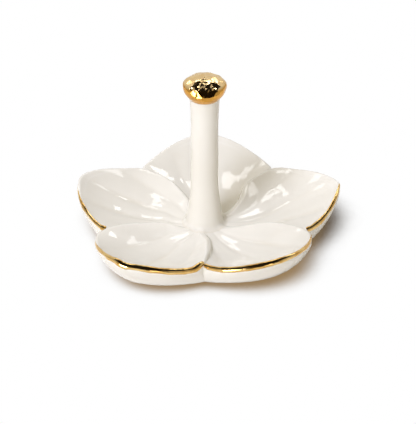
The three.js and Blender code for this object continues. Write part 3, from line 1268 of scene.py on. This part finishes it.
@dataclass
class GoldStroke:
    """A stroke of gold along a petal's lip, swept by Geometry Nodes. It is broad on the front and
    slips down to a thin line on the outside of the rims that face away."""

    lip_radius: float
    width: float = 2.2
    thickness: float = 0.48
    end_round: float = 0.9
    unevenness: float = 0.35
    blot_size: float = 6.0
    front_lean: float = 41.0
    far_lean: float = 104.0
    lean_turn: float = 0.25
    lean_skew: float = 0.12
    lean_fade: float = 0.7
    far_share: float = 0.5
    narrow_turn: float = 0.2
    narrow_fade: float = 1.2
    narrow_power: float = 1.3
    sunk_share: float = 0.2
    thinnest_share: float = 0.04
    profile_points: int = 20

    def __post_init__(self) -> None:
        """Builds the tree that all the strokes share."""
        self.group = bpy.data.node_groups.new("gold_stroke", "GeometryNodeTree")
        self.build_tree(self.build_inputs())

    def build_inputs(self) -> dict[str, Socket]:
        """Gives the tree its named inputs and its output.

        Returns:
            The inputs by name.
        """
        sizes = {
            "Width": self.width * MM, "Thickness": self.thickness * MM,
            "Lip Radius": self.lip_radius * MM, "End Round": self.end_round * MM,
            "Unevenness": self.unevenness, "Blot Size": self.blot_size * MM, "Seed": 3.0,
        }
        sockets = self.group.interface
        sockets.new_socket("Line", in_out="INPUT", socket_type="NodeSocketGeometry")
        for name, value in sizes.items():
            made = sockets.new_socket(name, in_out="INPUT", socket_type="NodeSocketFloat")
            made.default_value = value
        sockets.new_socket("Finish", in_out="INPUT", socket_type="NodeSocketMaterial")
        sockets.new_socket("Stroke", in_out="OUTPUT", socket_type="NodeSocketGeometry")
        given = self.group.nodes.new("NodeGroupInput")
        tree = Tree(self.group)
        return {name: Socket(tree, given.outputs[name]) for name in ("Line", *sizes, "Finish")}

    def build_tree(self, given: dict[str, Socket]) -> None:
        """Sweeps a bead, bent over the lip, along a line of points.

        Args:
            given: The tree's inputs by name.
        """
        tree = Tree(self.group)
        number = {"data_type": "FLOAT"}
        share = tree.add("GeometryNodeInputNamedAttribute", number, {"Name": "breadth"}, "Attribute")
        lean = tree.add("GeometryNodeInputNamedAttribute", number, {"Name": "lean"}, "Attribute")
        uneven = self.taper(tree, given) * self.blots(tree, given) * share
        radius = uneven.maths("MAXIMUM", self.thinnest_share)
        curve = tree.add("GeometryNodeMeshToCurve", None, {"Mesh": given["Line"]})
        curve = tree.add("GeometryNodeSetCurveNormal", {"mode": "Z_UP"}, {"Curve": curve})
        curve = tree.add("GeometryNodeSetCurveRadius", None, {"Curve": curve, "Radius": radius})
        curve = tree.add("GeometryNodeSetCurveTilt", None, {"Curve": curve, "Tilt": lean})
        ring = self.profile(tree, given)
        sweep = {"Curve": curve, "Profile Curve": ring, "Fill Caps": True, "Scale": radius}
        bead = tree.add("GeometryNodeCurveToMesh", None, sweep)
        bead = tree.add("GeometryNodeSetShadeSmooth", None, {"Geometry": bead, "Shade Smooth": True})
        bead = tree.add("GeometryNodeRealizeInstances", None, {"Geometry": bead})
        bead = tree.add("GeometryNodeSetMaterial", None, {"Geometry": bead, "Material": given["Finish"]})
        tree.add("NodeGroupOutput", None, {"Stroke": bead})

    @staticmethod
    def taper(tree: Tree, given: dict[str, Socket]) -> Socket:
        """Narrows the stroke to its round ends.

        Args:
            tree: The tree to fill in.
            given: The tree's inputs by name.

        Returns:
            Its share of the full breadth, 1 away from the ends.
        """
        along = tree.add("GeometryNodeSplineParameter", None, None, "Length")
        whole = tree.add("GeometryNodeSplineLength", None, None, "Length")
        end = along.maths("MINIMUM", whole - along) / given["End Round"]
        return (1.0 - (1.0 - end.maths("MINIMUM", 1.0)) ** 2.0).maths("SQRT")

    @staticmethod
    def blots(tree: Tree, given: dict[str, Socket]) -> Socket:
        """Makes the stroke's breadth uneven.

        Args:
            tree: The tree to fill in.
            given: The tree's inputs by name.

        Returns:
            Its share of the even breadth, about 1.
        """
        place = tree.add("GeometryNodeInputPosition")
        values = {"Vector": place, "W": given["Seed"], "Scale": 1.0 / given["Blot Size"], "Detail": 2.0}
        noise = tree.add("ShaderNodeTexNoise", {"noise_dimensions": "4D"}, values)
        return 1.0 + (noise - 0.5) * given["Unevenness"] * 2.0

    def profile(self, tree: Tree, given: dict[str, Socket]) -> Socket:
        """Makes the stroke's section: a flat oval that is bent over the lip.

        Args:
            tree: The tree to fill in.
            given: The tree's inputs by name.

        Returns:
            The section's curve.
        """
        circle = {"Resolution": self.profile_points, "Radius": 0.5}
        ring = tree.add("GeometryNodeCurvePrimitiveCircle", None, circle, "Curve")
        spread = tree.add("ShaderNodeCombineXYZ", None, {0: given["Width"], 1: given["Thickness"], 2: 1.0})
        ring = tree.add("GeometryNodeTransform", None, {"Geometry": ring, "Scale": spread})
        across = tree.axis(tree.add("GeometryNodeInputPosition"), "X")
        bend = tree.add("ShaderNodeCombineXYZ", None, {1: across * across / (given["Lip Radius"] * 2.0)})
        return tree.add("GeometryNodeSetPosition", None, {"Geometry": ring, "Offset": bend})

    def sweep(
        self, name: str, middle: Array, out: Array, share: float, seed: float, finish: Finish
    ) -> bpy.types.Mesh:
        """Sweeps the stroke along a lip.

        Args:
            name: Name for the mesh.
            middle: Points in the middle of the lip's round, in millimetres.
            out: Directions outwards from them.
            share: How broad it is against the stroke's usual width.
            seed: Number that varies the unevenness.
            finish: The stroke's finish.

        Returns:
            The plain mesh.
        """
        front = smooth((self.lean_turn + self.lean_skew * out[:, 0] - out[:, 1]) / self.lean_fade)
        lean = np.radians(mix(self.far_lean, self.front_lean, front))
        near = clamp((self.narrow_turn - out[:, 1]) / self.narrow_fade) ** self.narrow_power
        breadth = mix(self.far_share, share, near)
        reach = self.lip_radius - self.thickness * breadth * self.sunk_share
        way = out * np.sin(lean)[:, None] + np.array([0, 0, 1]) * np.cos(lean)[:, None]
        line = middle + way * reach[:, None]
        path = bpy.data.meshes.new(name)
        path.from_pydata((line * MM).tolist(), [(i, i + 1) for i in range(len(line) - 1)], [])
        write_attribute(path, "lean", lean)
        write_attribute(path, "breadth", breadth)
        carrier = new_object(name + "_line", path)
        modifier = carrier.modifiers.new("stroke", "NODES")
        modifier.node_group = self.group
        sockets = self.group.interface.items_tree
        inputs = {item.name: item.identifier for item in sockets if item.in_out == "INPUT"}
        modifier[inputs["Seed"]] = seed
        modifier[inputs["Finish"]] = finish.material()
        return baked(carrier, name)


def baked(carrier: bpy.types.Object, name: str) -> bpy.types.Mesh:
    """Turns an object's modifiers into a plain mesh and removes the object.

    Args:
        carrier: The object with the modifiers.
        name: Name for the mesh.

    Returns:
        The plain mesh.
    """
    bpy.context.view_layer.update()
    seen = carrier.evaluated_get(bpy.context.evaluated_depsgraph_get())
    mesh = bpy.data.meshes.new_from_object(seen)
    mesh.name = name
    carrier.modifiers.clear()
    bpy.data.objects.remove(carrier)
    return mesh


def seams_round() -> list[Seam]:
    """Sets out the seams. A row gives the fields of Seam in their order.

    Returns:
        The five seams in turn, and the first once more, a turn further on.
    """
    seams = [
        Seam(270, -6, 0.95, 1.01, 0.15, 0.55, 1.3),
        Seam(341.8, -18, 1.017, 1.027, 0.4, 1, 2.6),
        Seam(413, -26, 1.03, 0.973, 0, 0.43, 3),
        Seam(485, 2, 0.99, 0.973, 1.25, 1, 1),
        Seam(557.3, 27, 0.986, 1.009, 0.1, 1, 1),
    ]
    return [*seams, replace(seams[0], angle=seams[0].angle + 360)]


def petal_shapes() -> list[PetalShape]:
    """Sets out the petals. A row gives the fields of PetalShape in their order, and then by name
    those that differ from the usual.

    Returns:
        The five petals in turn, each from its seam to the next.
    """
    over, under = Lap.OVER, Lap.UNDER
    return [
        PetalShape(
            "petal_front_right", 306, under, over, 0.98, 1.1, 0.33, 1, 0.4, (0.21, 0.47, 0.72),
            gold_start=0.5, gold_breadth=1.1,
        ),
        PetalShape(
            "petal_right", 376, under, over, 1.015, 1.03, 0.02, 1.12, 0.7, (0.32, 0.57, 0.8),
            end_radius_share=1.055, gold_breadth=1.25,
        ),
        PetalShape(
            "petal_back", 449.7, under, under, 1.017, 1.01, 0.07, 1.12, 0.7, (0.16, 0.45, 0.7),
            start_radius_share=1.034, end_radius_share=1.05,
        ),
        PetalShape(
            "petal_left", 516.3, over, under, 0.985, 1.01, 0.02, 1.16, 1.2, (0.2, 0.42, 0.63),
            start_radius_share=1.036,
        ),
        PetalShape(
            "petal_front_left", 594.5, over, over, 1.03, 1.06, 0.05, 1.25, 1.75, (0.28, 0.55, 0.78),
            start_radius_share=1.028,
            bumps=((0.48, 0.035, 0.45), (0.55, 0.035, -0.35), (0.965, 0.035, 0.9)),
            gold_start=0.3, gold_end=0.2, gold_breadth=1.2,
        ),
    ]


@dataclass(frozen=True)
class FootRing:
    """The ring of bare clay on which the dish stands, with its edges wiped round."""

    outer: float = 32.11
    width: float = 4.0
    top: float = 1.2
    let_in: float = 0.25
    edge_round: float = 0.4
    edge_points: int = 7
    around: int = 240
    uneven: Waver = Waver(9, 0.05, 5)
    uneven_radius: float = 30.0

    def mesh(self) -> bpy.types.Mesh:
        """Turns the ring about the post's axis.

        Returns:
            The closed mesh.
        """
        inner, soft = self.outer - self.width, self.edge_round
        edge = np.linspace(0, math.pi / 2, self.edge_points)
        past, rise = soft * np.sin(edge), soft - soft * np.cos(edge)
        top = self.top + self.let_in
        radii = [*(inner + soft - past)[::-1], *(self.outer - soft + past)]
        radii += [self.outer + self.let_in, inner - self.let_in]
        heights = [*rise[::-1], *rise, top, top]
        turns = turns_round(self.around)
        reach = self.uneven_radius
        uneven = self.uneven.at(reach * np.cos(turns), reach * np.sin(turns))
        rings = [ring_of(r + uneven, turns, h) for r, h in zip(radii, heights)]
        made = Shape()
        numbers = made.add_points(np.stack(rings, axis=1))
        made.add_grid(np.concatenate([numbers, numbers[:1]]), closed=True)
        return made.mesh("foot_ring")


@dataclass
class Dish:
    """The five petals with their gold, the clay under the post and the foot ring."""

    sizes: DishSizes = DishSizes()
    glaze: IvoryGlaze = IvoryGlaze()
    gold: GoldLustre = GoldLustre()
    clay: BareClay = BareClay()
    foot: FootRing = FootRing()
    stroke_points: int = 240
    stroke_seed: float = 3.0
    stroke_seed_step: float = 1.7
    petals: dict[str, Petal] = field(default_factory=dict)

    def __post_init__(self) -> None:
        """Sets out the petals between their seams."""
        seams = seams_round()
        for shape, start, end in zip(petal_shapes(), seams, seams[1:]):
            self.petals[shape.name] = Petal(self.sizes, shape, start, end)

    def neighbours(self, petal: Petal, lap: Lap) -> dict[Side, Petal]:
        """Finds the neighbours that a petal lies over, or those that it lies under.

        Args:
            petal: The petal.
            lap: How it lies on the neighbours that are wanted.

        Returns:
            Those neighbours, by side.
        """
        names = list(self.petals)
        index = names.index(petal.shape.name)
        beside = {
            Side.START: (petal.shape.start_lap, names[index - 1]),
            Side.END: (petal.shape.end_lap, names[(index + 1) % len(names)]),
        }
        return {side: self.petals[name] for side, (own, name) in beside.items() if own is lap}

    def settle(self, mesh: bpy.types.Mesh) -> bpy.types.Mesh:
        """Moves a mesh that was made about the post's axis to its place on the frame.

        Args:
            mesh: The mesh, which is changed.

        Returns:
            The same mesh.
        """
        for vertex in mesh.vertices:
            vertex.co.x += self.sizes.offset_x * MM
            vertex.co.y += self.sizes.offset_y * MM
        mesh.update()
        return mesh

    def build_petals(self) -> None:
        """Builds the lowest petals first, so that each upper one can lie on its neighbours."""
        for name in ("petal_back", "petal_right", "petal_left", "petal_front_right", "petal_front_left"):
            petal = self.petals[name]
            mesh = petal.build(self.neighbours(petal, Lap.UNDER), self.neighbours(petal, Lap.OVER))
            Piece("glazed_" + name, name, "glaze", self.glaze).dress(self.settle(mesh))

    def build_gold(self) -> None:
        """Lays a stroke of gold along each petal's lip."""
        stroke = GoldStroke(self.sizes.lip_radius)
        for i, (name, petal) in enumerate(self.petals.items()):
            start = petal.corner_share * petal.shape.gold_start
            end = 1 - petal.corner_share * petal.shape.gold_end
            middle, out = petal.lip_line(self.stroke_points, start, end)
            node = name.replace("petal", "gold_rim")
            seed = self.stroke_seed + i * self.stroke_seed_step
            mesh = stroke.sweep(node, middle, out, petal.shape.gold_breadth, seed, self.gold)
            Piece("lustre_" + node, node, "rim_gold", self.gold).dress(self.settle(mesh))

    def build(self) -> None:
        """Builds the whole dish."""
        self.build_petals()
        self.build_gold()
        ring = self.settle(self.foot.mesh())
        Piece("bare_foot_ring", "foot_ring", "bare_clay", self.clay).dress(ring)
        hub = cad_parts["hub"]
        hub.data.materials.clear()
        plain = replace(self.glaze, name="hub_glaze", broken_and_highlight=self.glaze.plain)
        hub.data.materials.append(plain.material())
        log.info("hub: the CAD piece stays, under the post")


@dataclass
class Post:
    """The post: a flared foot that runs out onto the petals, a slim shaft and a flared neck."""

    dish: Dish
    waist: float = 5.25
    foot_radius: float = 7.6
    foot_flare: float = 19.0
    foot_power: float = 1.8
    neck_radius: float = 5.8
    neck_flare: float = 14.0
    foot: float = 6.9
    top: float = 61.45
    fillet: float = 1.5
    fillet_points: int = 12
    let_down: float = 4.0
    sink: float = 0.01
    skirt: float = 0.5
    rings: int = 150
    around: int = 144
    pooled_and_shaded: float = 0.8
    plain: float = 0.45
    pool_and_shade_rings: int = 16
    uneven: Waver = Waver(16, 0.045, 23)

    def profile(self) -> tuple[Array, Array]:
        """Draws the post's outline, from its foot to its top.

        Returns:
            Its radii and its heights.
        """
        turn = np.linspace(math.pi / 2, 0, self.fillet_points)
        shaft = np.linspace(self.fillet, self.top - self.foot, self.rings)[1:]
        height = np.concatenate([self.fillet * (1 - np.sin(turn)), shaft])
        spread = np.concatenate([self.fillet * (1 - np.cos(turn)), np.zeros(len(shaft))])
        k = clamp(height / self.foot_flare)
        radius = mix(self.foot_radius, self.waist, 1 - (1 - k) ** self.foot_power)
        up = clamp((height + self.foot - (self.top - self.neck_flare)) / self.neck_flare)
        radius = radius + (self.neck_radius - self.waist) * up ** 2
        return radius + spread, self.foot + height

    def build(self) -> None:
        """Builds the post and lets its foot down onto the petals."""
        radii, heights = self.profile()
        turns = turns_round(self.around)
        petals = list(self.dish.petals.values())
        ground = Petal.drop_onto(petals, radii[0] * np.cos(turns), radii[0] * np.sin(turns))
        rings = []
        for r, h in zip(radii, heights):
            uneven = self.uneven.at(r * np.cos(turns), r * np.sin(turns), h)
            down = (1 - smooth((h - self.foot) / self.let_down)) * (ground - self.foot - self.sink)
            rings.append(ring_of(r + uneven, turns, h + down))
        skirt = rings[0] - np.array([0.0, 0.0, self.skirt])
        made = Shape()
        numbers = made.add_turned(np.stack([skirt, *rings]), self.foot - self.skirt, self.top)
        mesh = made.mesh("post")
        # Painted shade: the rings at the foot, where the post meets the petals, get the pooled colour,
        # partly glaze pooled there and partly painted shade in the crease.
        pool_and_shade = np.full(len(mesh.vertices), self.plain)
        fading = np.linspace(self.pooled_and_shaded, self.plain, self.pool_and_shade_rings)
        pool_and_shade[numbers[:self.pool_and_shade_rings].ravel()] = np.repeat(fading, self.around)
        write_attribute(mesh, "pool_and_shade", pool_and_shade)
        Piece("glazed_post", "post", "glaze", self.dish.glaze).dress(self.dish.settle(mesh))


@dataclass
class Knob:
    """The hammered knob: a domed button with overlapping dents, on a shallow bowl-shaped seat.

    A flat is a turn and a tilt in degrees and a depth in millimetres. Levels run from -1 below
    to 1 on top, and turns from the viewer's right."""

    dish: Dish
    lustre: KnobLustre = KnobLustre()
    radius: float = 8.4
    seat_radius: float = 5.75
    seat: float = 61.4
    widest: float = 66.4
    top: float = 70.0
    dome_power: float = 0.92
    flats: tuple[Point, ...] = (
        (277, 34, 1.1), (252, 14, 0.6), (300, 18, 0.4), (226, 30, 0.15), (322, 32, 0.15), (95, 32, 0.3),
    )
    flat_edge: float = 0.1
    middle_drop: float = 0.5
    dents: int = 46
    dent_width: float = 1.9
    dent_width_shares: Range = (0.7, 1.35)
    dent_depth: float = 0.32
    dent_depth_shares: Range = (0.5, 1)
    dent_span: float = 1.25
    dent_turn: float = 2.39996
    dent_shift: float = 0.35
    nicks: int = 26
    nick_width: float = 1.0
    nick_width_shares: Range = (0.7, 1.3)
    nick_depth: float = 0.24
    nick_turns: Range = (222, 322)
    nick_levels: Range = (0.35, 0.9)
    calm_height: float = 2.2
    seed: int = 41
    rings: int = 150
    around: int = 300

    @property
    def middle(self) -> Array:
        """The point from which the levels and the dents' directions are taken."""
        return np.array([0.0, 0.0, self.widest - self.middle_drop])

    def profile(self) -> tuple[Array, Array]:
        """Draws the smooth knob's outline, from its seat to just below its top.

        Returns:
            Its radii and its heights.
        """
        tilt = np.linspace(-math.pi / 2, math.pi / 2, self.rings)[:-1]
        share = (tilt + math.pi / 2) / (math.pi / 2)
        bowl = mix(self.seat_radius, self.radius, np.sin(math.pi / 2 * share))
        dome = self.radius * np.cos(tilt) ** self.dome_power
        dome_height = self.widest + (self.top - self.widest) * np.sin(tilt)
        below = tilt < 0
        heights = np.where(below, mix(self.seat, self.widest, share), dome_height)
        return np.where(below, bowl, dome), heights

    def build(self) -> None:
        """Builds the knob and strikes its dents."""
        turns = turns_round(self.around)
        rings = np.stack([ring_of(r, turns, h) for r, h in zip(*self.profile())])
        top = self.strike(np.array([[0.0, 0.0, self.top]]))
        made = Shape()
        made.add_turned(self.strike(rings), self.seat, float(top[0, 2]))
        mesh = self.dish.settle(made.mesh("knob"))
        Piece("hammered_knob", "knob", "knob_gold", self.lustre).dress(mesh)

    def flatten(self, points: Array) -> Array:
        """Presses the flats into the knob.

        Args:
            points: The smooth knob's points.

        Returns:
            The points with the flats.
        """
        for turn, tilt, depth in self.flats:
            turn, tilt = math.radians(turn), math.radians(tilt)
            level = math.cos(tilt)
            facing = np.array([level * math.cos(turn), level * math.sin(turn), math.sin(tilt)])
            reach = math.hypot(self.radius * level, (self.top - self.widest) * math.sin(tilt))
            over = (points - np.array([0.0, 0.0, self.widest])) @ facing - (reach - depth)
            points = points - facing * (smooth(over / self.flat_edge) * over)[..., None]
        return points

    def hollow(self, points: Array, turn: float, level: float, width: float) -> Array:
        """The shape of a round hollow, 1 in its middle and 0 from its edge on.

        Args:
            points: Where it is read.
            turn: The turn of its middle about the knob, in radians.
            level: The level of its middle.
            width: Its width from the middle to the edge.

        Returns:
            The hollow's share of its depth at each point.
        """
        flat = self.radius * math.sqrt(max(1 - level ** 2, 0))
        rise = (self.top - self.middle[2]) * level
        spot = self.middle + np.array([flat * math.cos(turn), flat * math.sin(turn), rise])
        return clamp(1 - (np.linalg.norm(points - spot, axis=-1) / width) ** 2)

    def strike(self, points: Array) -> Array:
        """Strikes the flats, the dents and the nicks into the knob.

        Args:
            points: The smooth knob's points.

        Returns:
            The dented knob's points.
        """
        random = np.random.default_rng(self.seed)
        points = self.flatten(points)
        struck = np.zeros(points.shape[:-1])
        for i in range(self.dents):
            level = 1 - self.dent_span * (i + 0.5) / self.dents
            turn = i * self.dent_turn + random.uniform(-self.dent_shift, self.dent_shift)
            width = self.dent_width * random.uniform(*self.dent_width_shares)
            depth = self.dent_depth * random.uniform(*self.dent_depth_shares)
            struck = np.maximum(struck, depth * self.hollow(points, turn, level, width))
        for _ in range(self.nicks):
            turn = math.radians(random.uniform(*self.nick_turns))
            level = random.uniform(*self.nick_levels)
            width = self.nick_width * random.uniform(*self.nick_width_shares)
            struck = struck + self.nick_depth * self.hollow(points, turn, level, width) ** 2
        way = points - self.middle
        length = np.linalg.norm(way, axis=-1)[..., None]
        rim = smooth((points[..., 2] - self.seat) / self.calm_height)
        return points - way / length * (struck * rim)[..., None]


@dataclass(frozen=True)
class Lamp:
    """A soft rectangular lamp that points at the dish. The glaze mirrors it and it gives no other
    light, or it gives light and isn't mirrored. Lengths are in metres."""

    name: str
    place: Point
    size: Range
    power: float
    colour: Colour = (0.99, 0.99, 1.0)
    mirrored: bool = True
    aim: Point = (0, 0, 0.01)

    def hang(self) -> None:
        """Hangs the lamp."""
        lamp = bpy.data.lights.new(self.name, "AREA")
        lamp.shape = "RECTANGLE"
        lamp.size, lamp.size_y = self.size
        lamp.energy = self.power
        lamp.color = self.colour
        made = new_object(self.name, lamp)
        made.location = self.place
        made.visible_diffuse = not self.mirrored
        made.visible_glossy = self.mirrored
        away = Vector(self.place) - Vector(self.aim)
        made.rotation_euler = away.to_track_quat("Z", "Y").to_euler()


@dataclass(frozen=True)
class Studio:
    """The table, the light and the camera. Lengths are in metres."""

    elevation: float = 31.0
    camera_place: Point = (-0.00032, -0.9411, 0.5745)
    focal_pixels: float = 2827.8
    image_width: int = 416
    film_width: float = 36.0
    view_reach: float = 100.0
    table_half: float = 3.0
    floor_colour: Colour = (0.93, 0.92, 0.905)
    white: Colour = (1.0, 1.0, 1.0)
    front_shade: Colour = (0.32, 0.215, 0.11)
    side_shade: Colour = (0.06, 0.035, 0.01)
    side_range: Range = (0.03, 0.052)
    to_light: Point = (-0.339, -0.498, 0.798)
    shade_reach: float = 0.03
    shade_samples: int = 16
    shade_range: Range = (0.74, 0.36)
    dark_room: Colour = (0.012, 0.01, 0.01)
    pale_room: Colour = (0.95, 0.95, 0.95)
    room_strength: float = 0.8
    back_wall: Range = (0.5, 0.64)
    back_wall_top: Range = (0.78, 0.68)
    side_walls: Range = (0.4, 0.7)
    side_wall_top: Range = (0.8, 0.5)
    side_wall_share: float = 0.7
    table_edge: Range = (0.0, -0.05)
    left_light: Colour = (1.04, 0.94, 0.74)
    right_light: Colour = (0.33, 0.28, 0.17)
    light_range: Range = (-0.3, 0.8)
    light_strength: float = 0.575
    lamps: tuple[Lamp, ...] = (
        Lamp("key", (-0.475, -0.705, 1.12), (0.5, 0.5), 12.4, (0.93, 0.98, 1.18), mirrored=False),
        Lamp("fill", (-0.15, -1.2, 0.25), (0.6, 0.3), 1.35, (1.0, 0.97, 0.94), mirrored=False),
        Lamp("back_light", (0.15, 0.93, 0.75), (0.4, 0.4), 0.8, (1.0, 0.98, 0.94), mirrored=False),
        Lamp("window_left", (-0.18, 0.78, 0.89), (0.08, 0.24), 0.24),
        Lamp("window_middle", (-0.05, 0.815, 0.878), (0.16, 0.15), 0.28),
        Lamp("window_right", (0.25, 0.877, 0.779), (0.09, 0.2), 0.26),
        Lamp("far_window", (0.495, 0.707, 0.834), (0.2, 0.2), 0.4),
        Lamp("near_window", (-0.573, 0.683, 0.803), (0.1, 0.2), 0.17),
        Lamp("side_window", (-0.6, -0.8, 0.14), (0.26, 0.3), 4.4),
        Lamp("front_window", (0.3, -0.95, 0.12), (0.2, 0.14), 0.5),
    )

    def build_camera(self) -> None:
        """Puts the camera at the photograph's viewing angle."""
        camera = bpy.data.cameras.new("camera")
        camera.sensor_fit = "HORIZONTAL"
        camera.sensor_width = self.film_width
        camera.lens = self.focal_pixels * self.film_width / self.image_width
        camera.clip_end = self.view_reach
        made = new_object("camera", camera)
        made.location = self.camera_place
        made.rotation_euler = (math.radians(90 - self.elevation), 0, 0)
        bpy.context.scene.camera = made

    def table_paint(self) -> bpy.types.Material:
        """Makes the table's paint: white paper with a soft shade to the camera, matt to all else.

        Returns:
            The paint.
        """
        paint = bpy.data.materials.new("table_paint")
        tree = empty_tree(paint)
        matt = tree.add("ShaderNodeBsdfDiffuse", None, {"Color": (*self.floor_colour, 1)})
        to_light = tree.add("ShaderNodeCombineXYZ", None, dict(enumerate(self.to_light)))
        reach = {"Normal": to_light, "Distance": self.shade_reach}
        open_sky = tree.add("ShaderNodeAmbientOcclusion", {"samples": self.shade_samples}, reach, "AO")
        across = tree.axis(Finish.place(tree), "X")
        shade = tree.blend(across.step(*self.side_range), self.front_shade, self.side_shade)
        shown = tree.blend(open_sky.step(*self.shade_range), self.white, shade)
        paper = tree.add("ShaderNodeEmission", None, {"Color": shown})
        surface = tree.choose(tree.ray("Is Camera Ray"), matt, paper)
        tree.add("ShaderNodeOutputMaterial", None, {"Surface": surface})
        return paint

    def build_floor(self) -> None:
        """Lays the pale table."""
        half = self.table_half
        mesh = bpy.data.meshes.new("table")
        corners = [(-half, -half, 0), (half, -half, 0), (half, half, 0), (-half, half, 0)]
        mesh.from_pydata(corners, [], [(0, 1, 2, 3)])
        mesh.materials.append(self.table_paint())
        new_object("table", mesh)

    def build_world(self) -> None:
        """Makes the room: white to the camera, soft and warm to the object, and dark with pale
        walls in its reflections."""
        world = bpy.data.worlds.new("room")
        bpy.context.scene.world = world
        tree = empty_tree(world)
        way = tree.add("ShaderNodeTexCoord", None, None, "Generated")
        right, toward, height = (tree.axis(way, letter) for letter in "XYZ")
        behind = toward.step(*self.back_wall) * height.step(*self.back_wall_top)
        beside = right.maths("ABSOLUTE").step(*self.side_walls) * height.step(*self.side_wall_top)
        walls = behind.maths("MAXIMUM", beside * self.side_wall_share)
        pale = walls.maths("MAXIMUM", height.step(*self.table_edge))
        seen = tree.blend(pale, self.dark_room, self.pale_room)
        warm = tree.blend(right.step(*self.light_range), self.left_light, self.right_light)
        soft = tree.add("ShaderNodeBackground", None, {0: warm, 1: self.light_strength})
        shiny = tree.add("ShaderNodeBackground", None, {0: seen, 1: self.room_strength})
        white = tree.add("ShaderNodeBackground", None, {0: (*self.white, 1), 1: 1.0})
        lit = tree.choose(tree.ray("Is Glossy Ray"), soft, shiny)
        lit = tree.choose(tree.ray("Is Camera Ray"), lit, white)
        tree.add("ShaderNodeOutputWorld", None, {"Surface": lit})

    def build(self) -> None:
        """Builds the whole studio."""
        self.build_camera()
        self.build_floor()
        self.build_world()
        for lamp in self.lamps:
            lamp.hang()


def main() -> None:
    """Builds the ring holder and its studio."""
    logging.basicConfig(level=logging.INFO, format="%(name)s: %(message)s")
    bpy.context.scene.view_settings.view_transform = "Standard"
    Studio().build()
    dish = Dish()
    dish.build()
    Post(dish).build()
    Knob(dish).build()


if __name__ == "__main__":
    main()
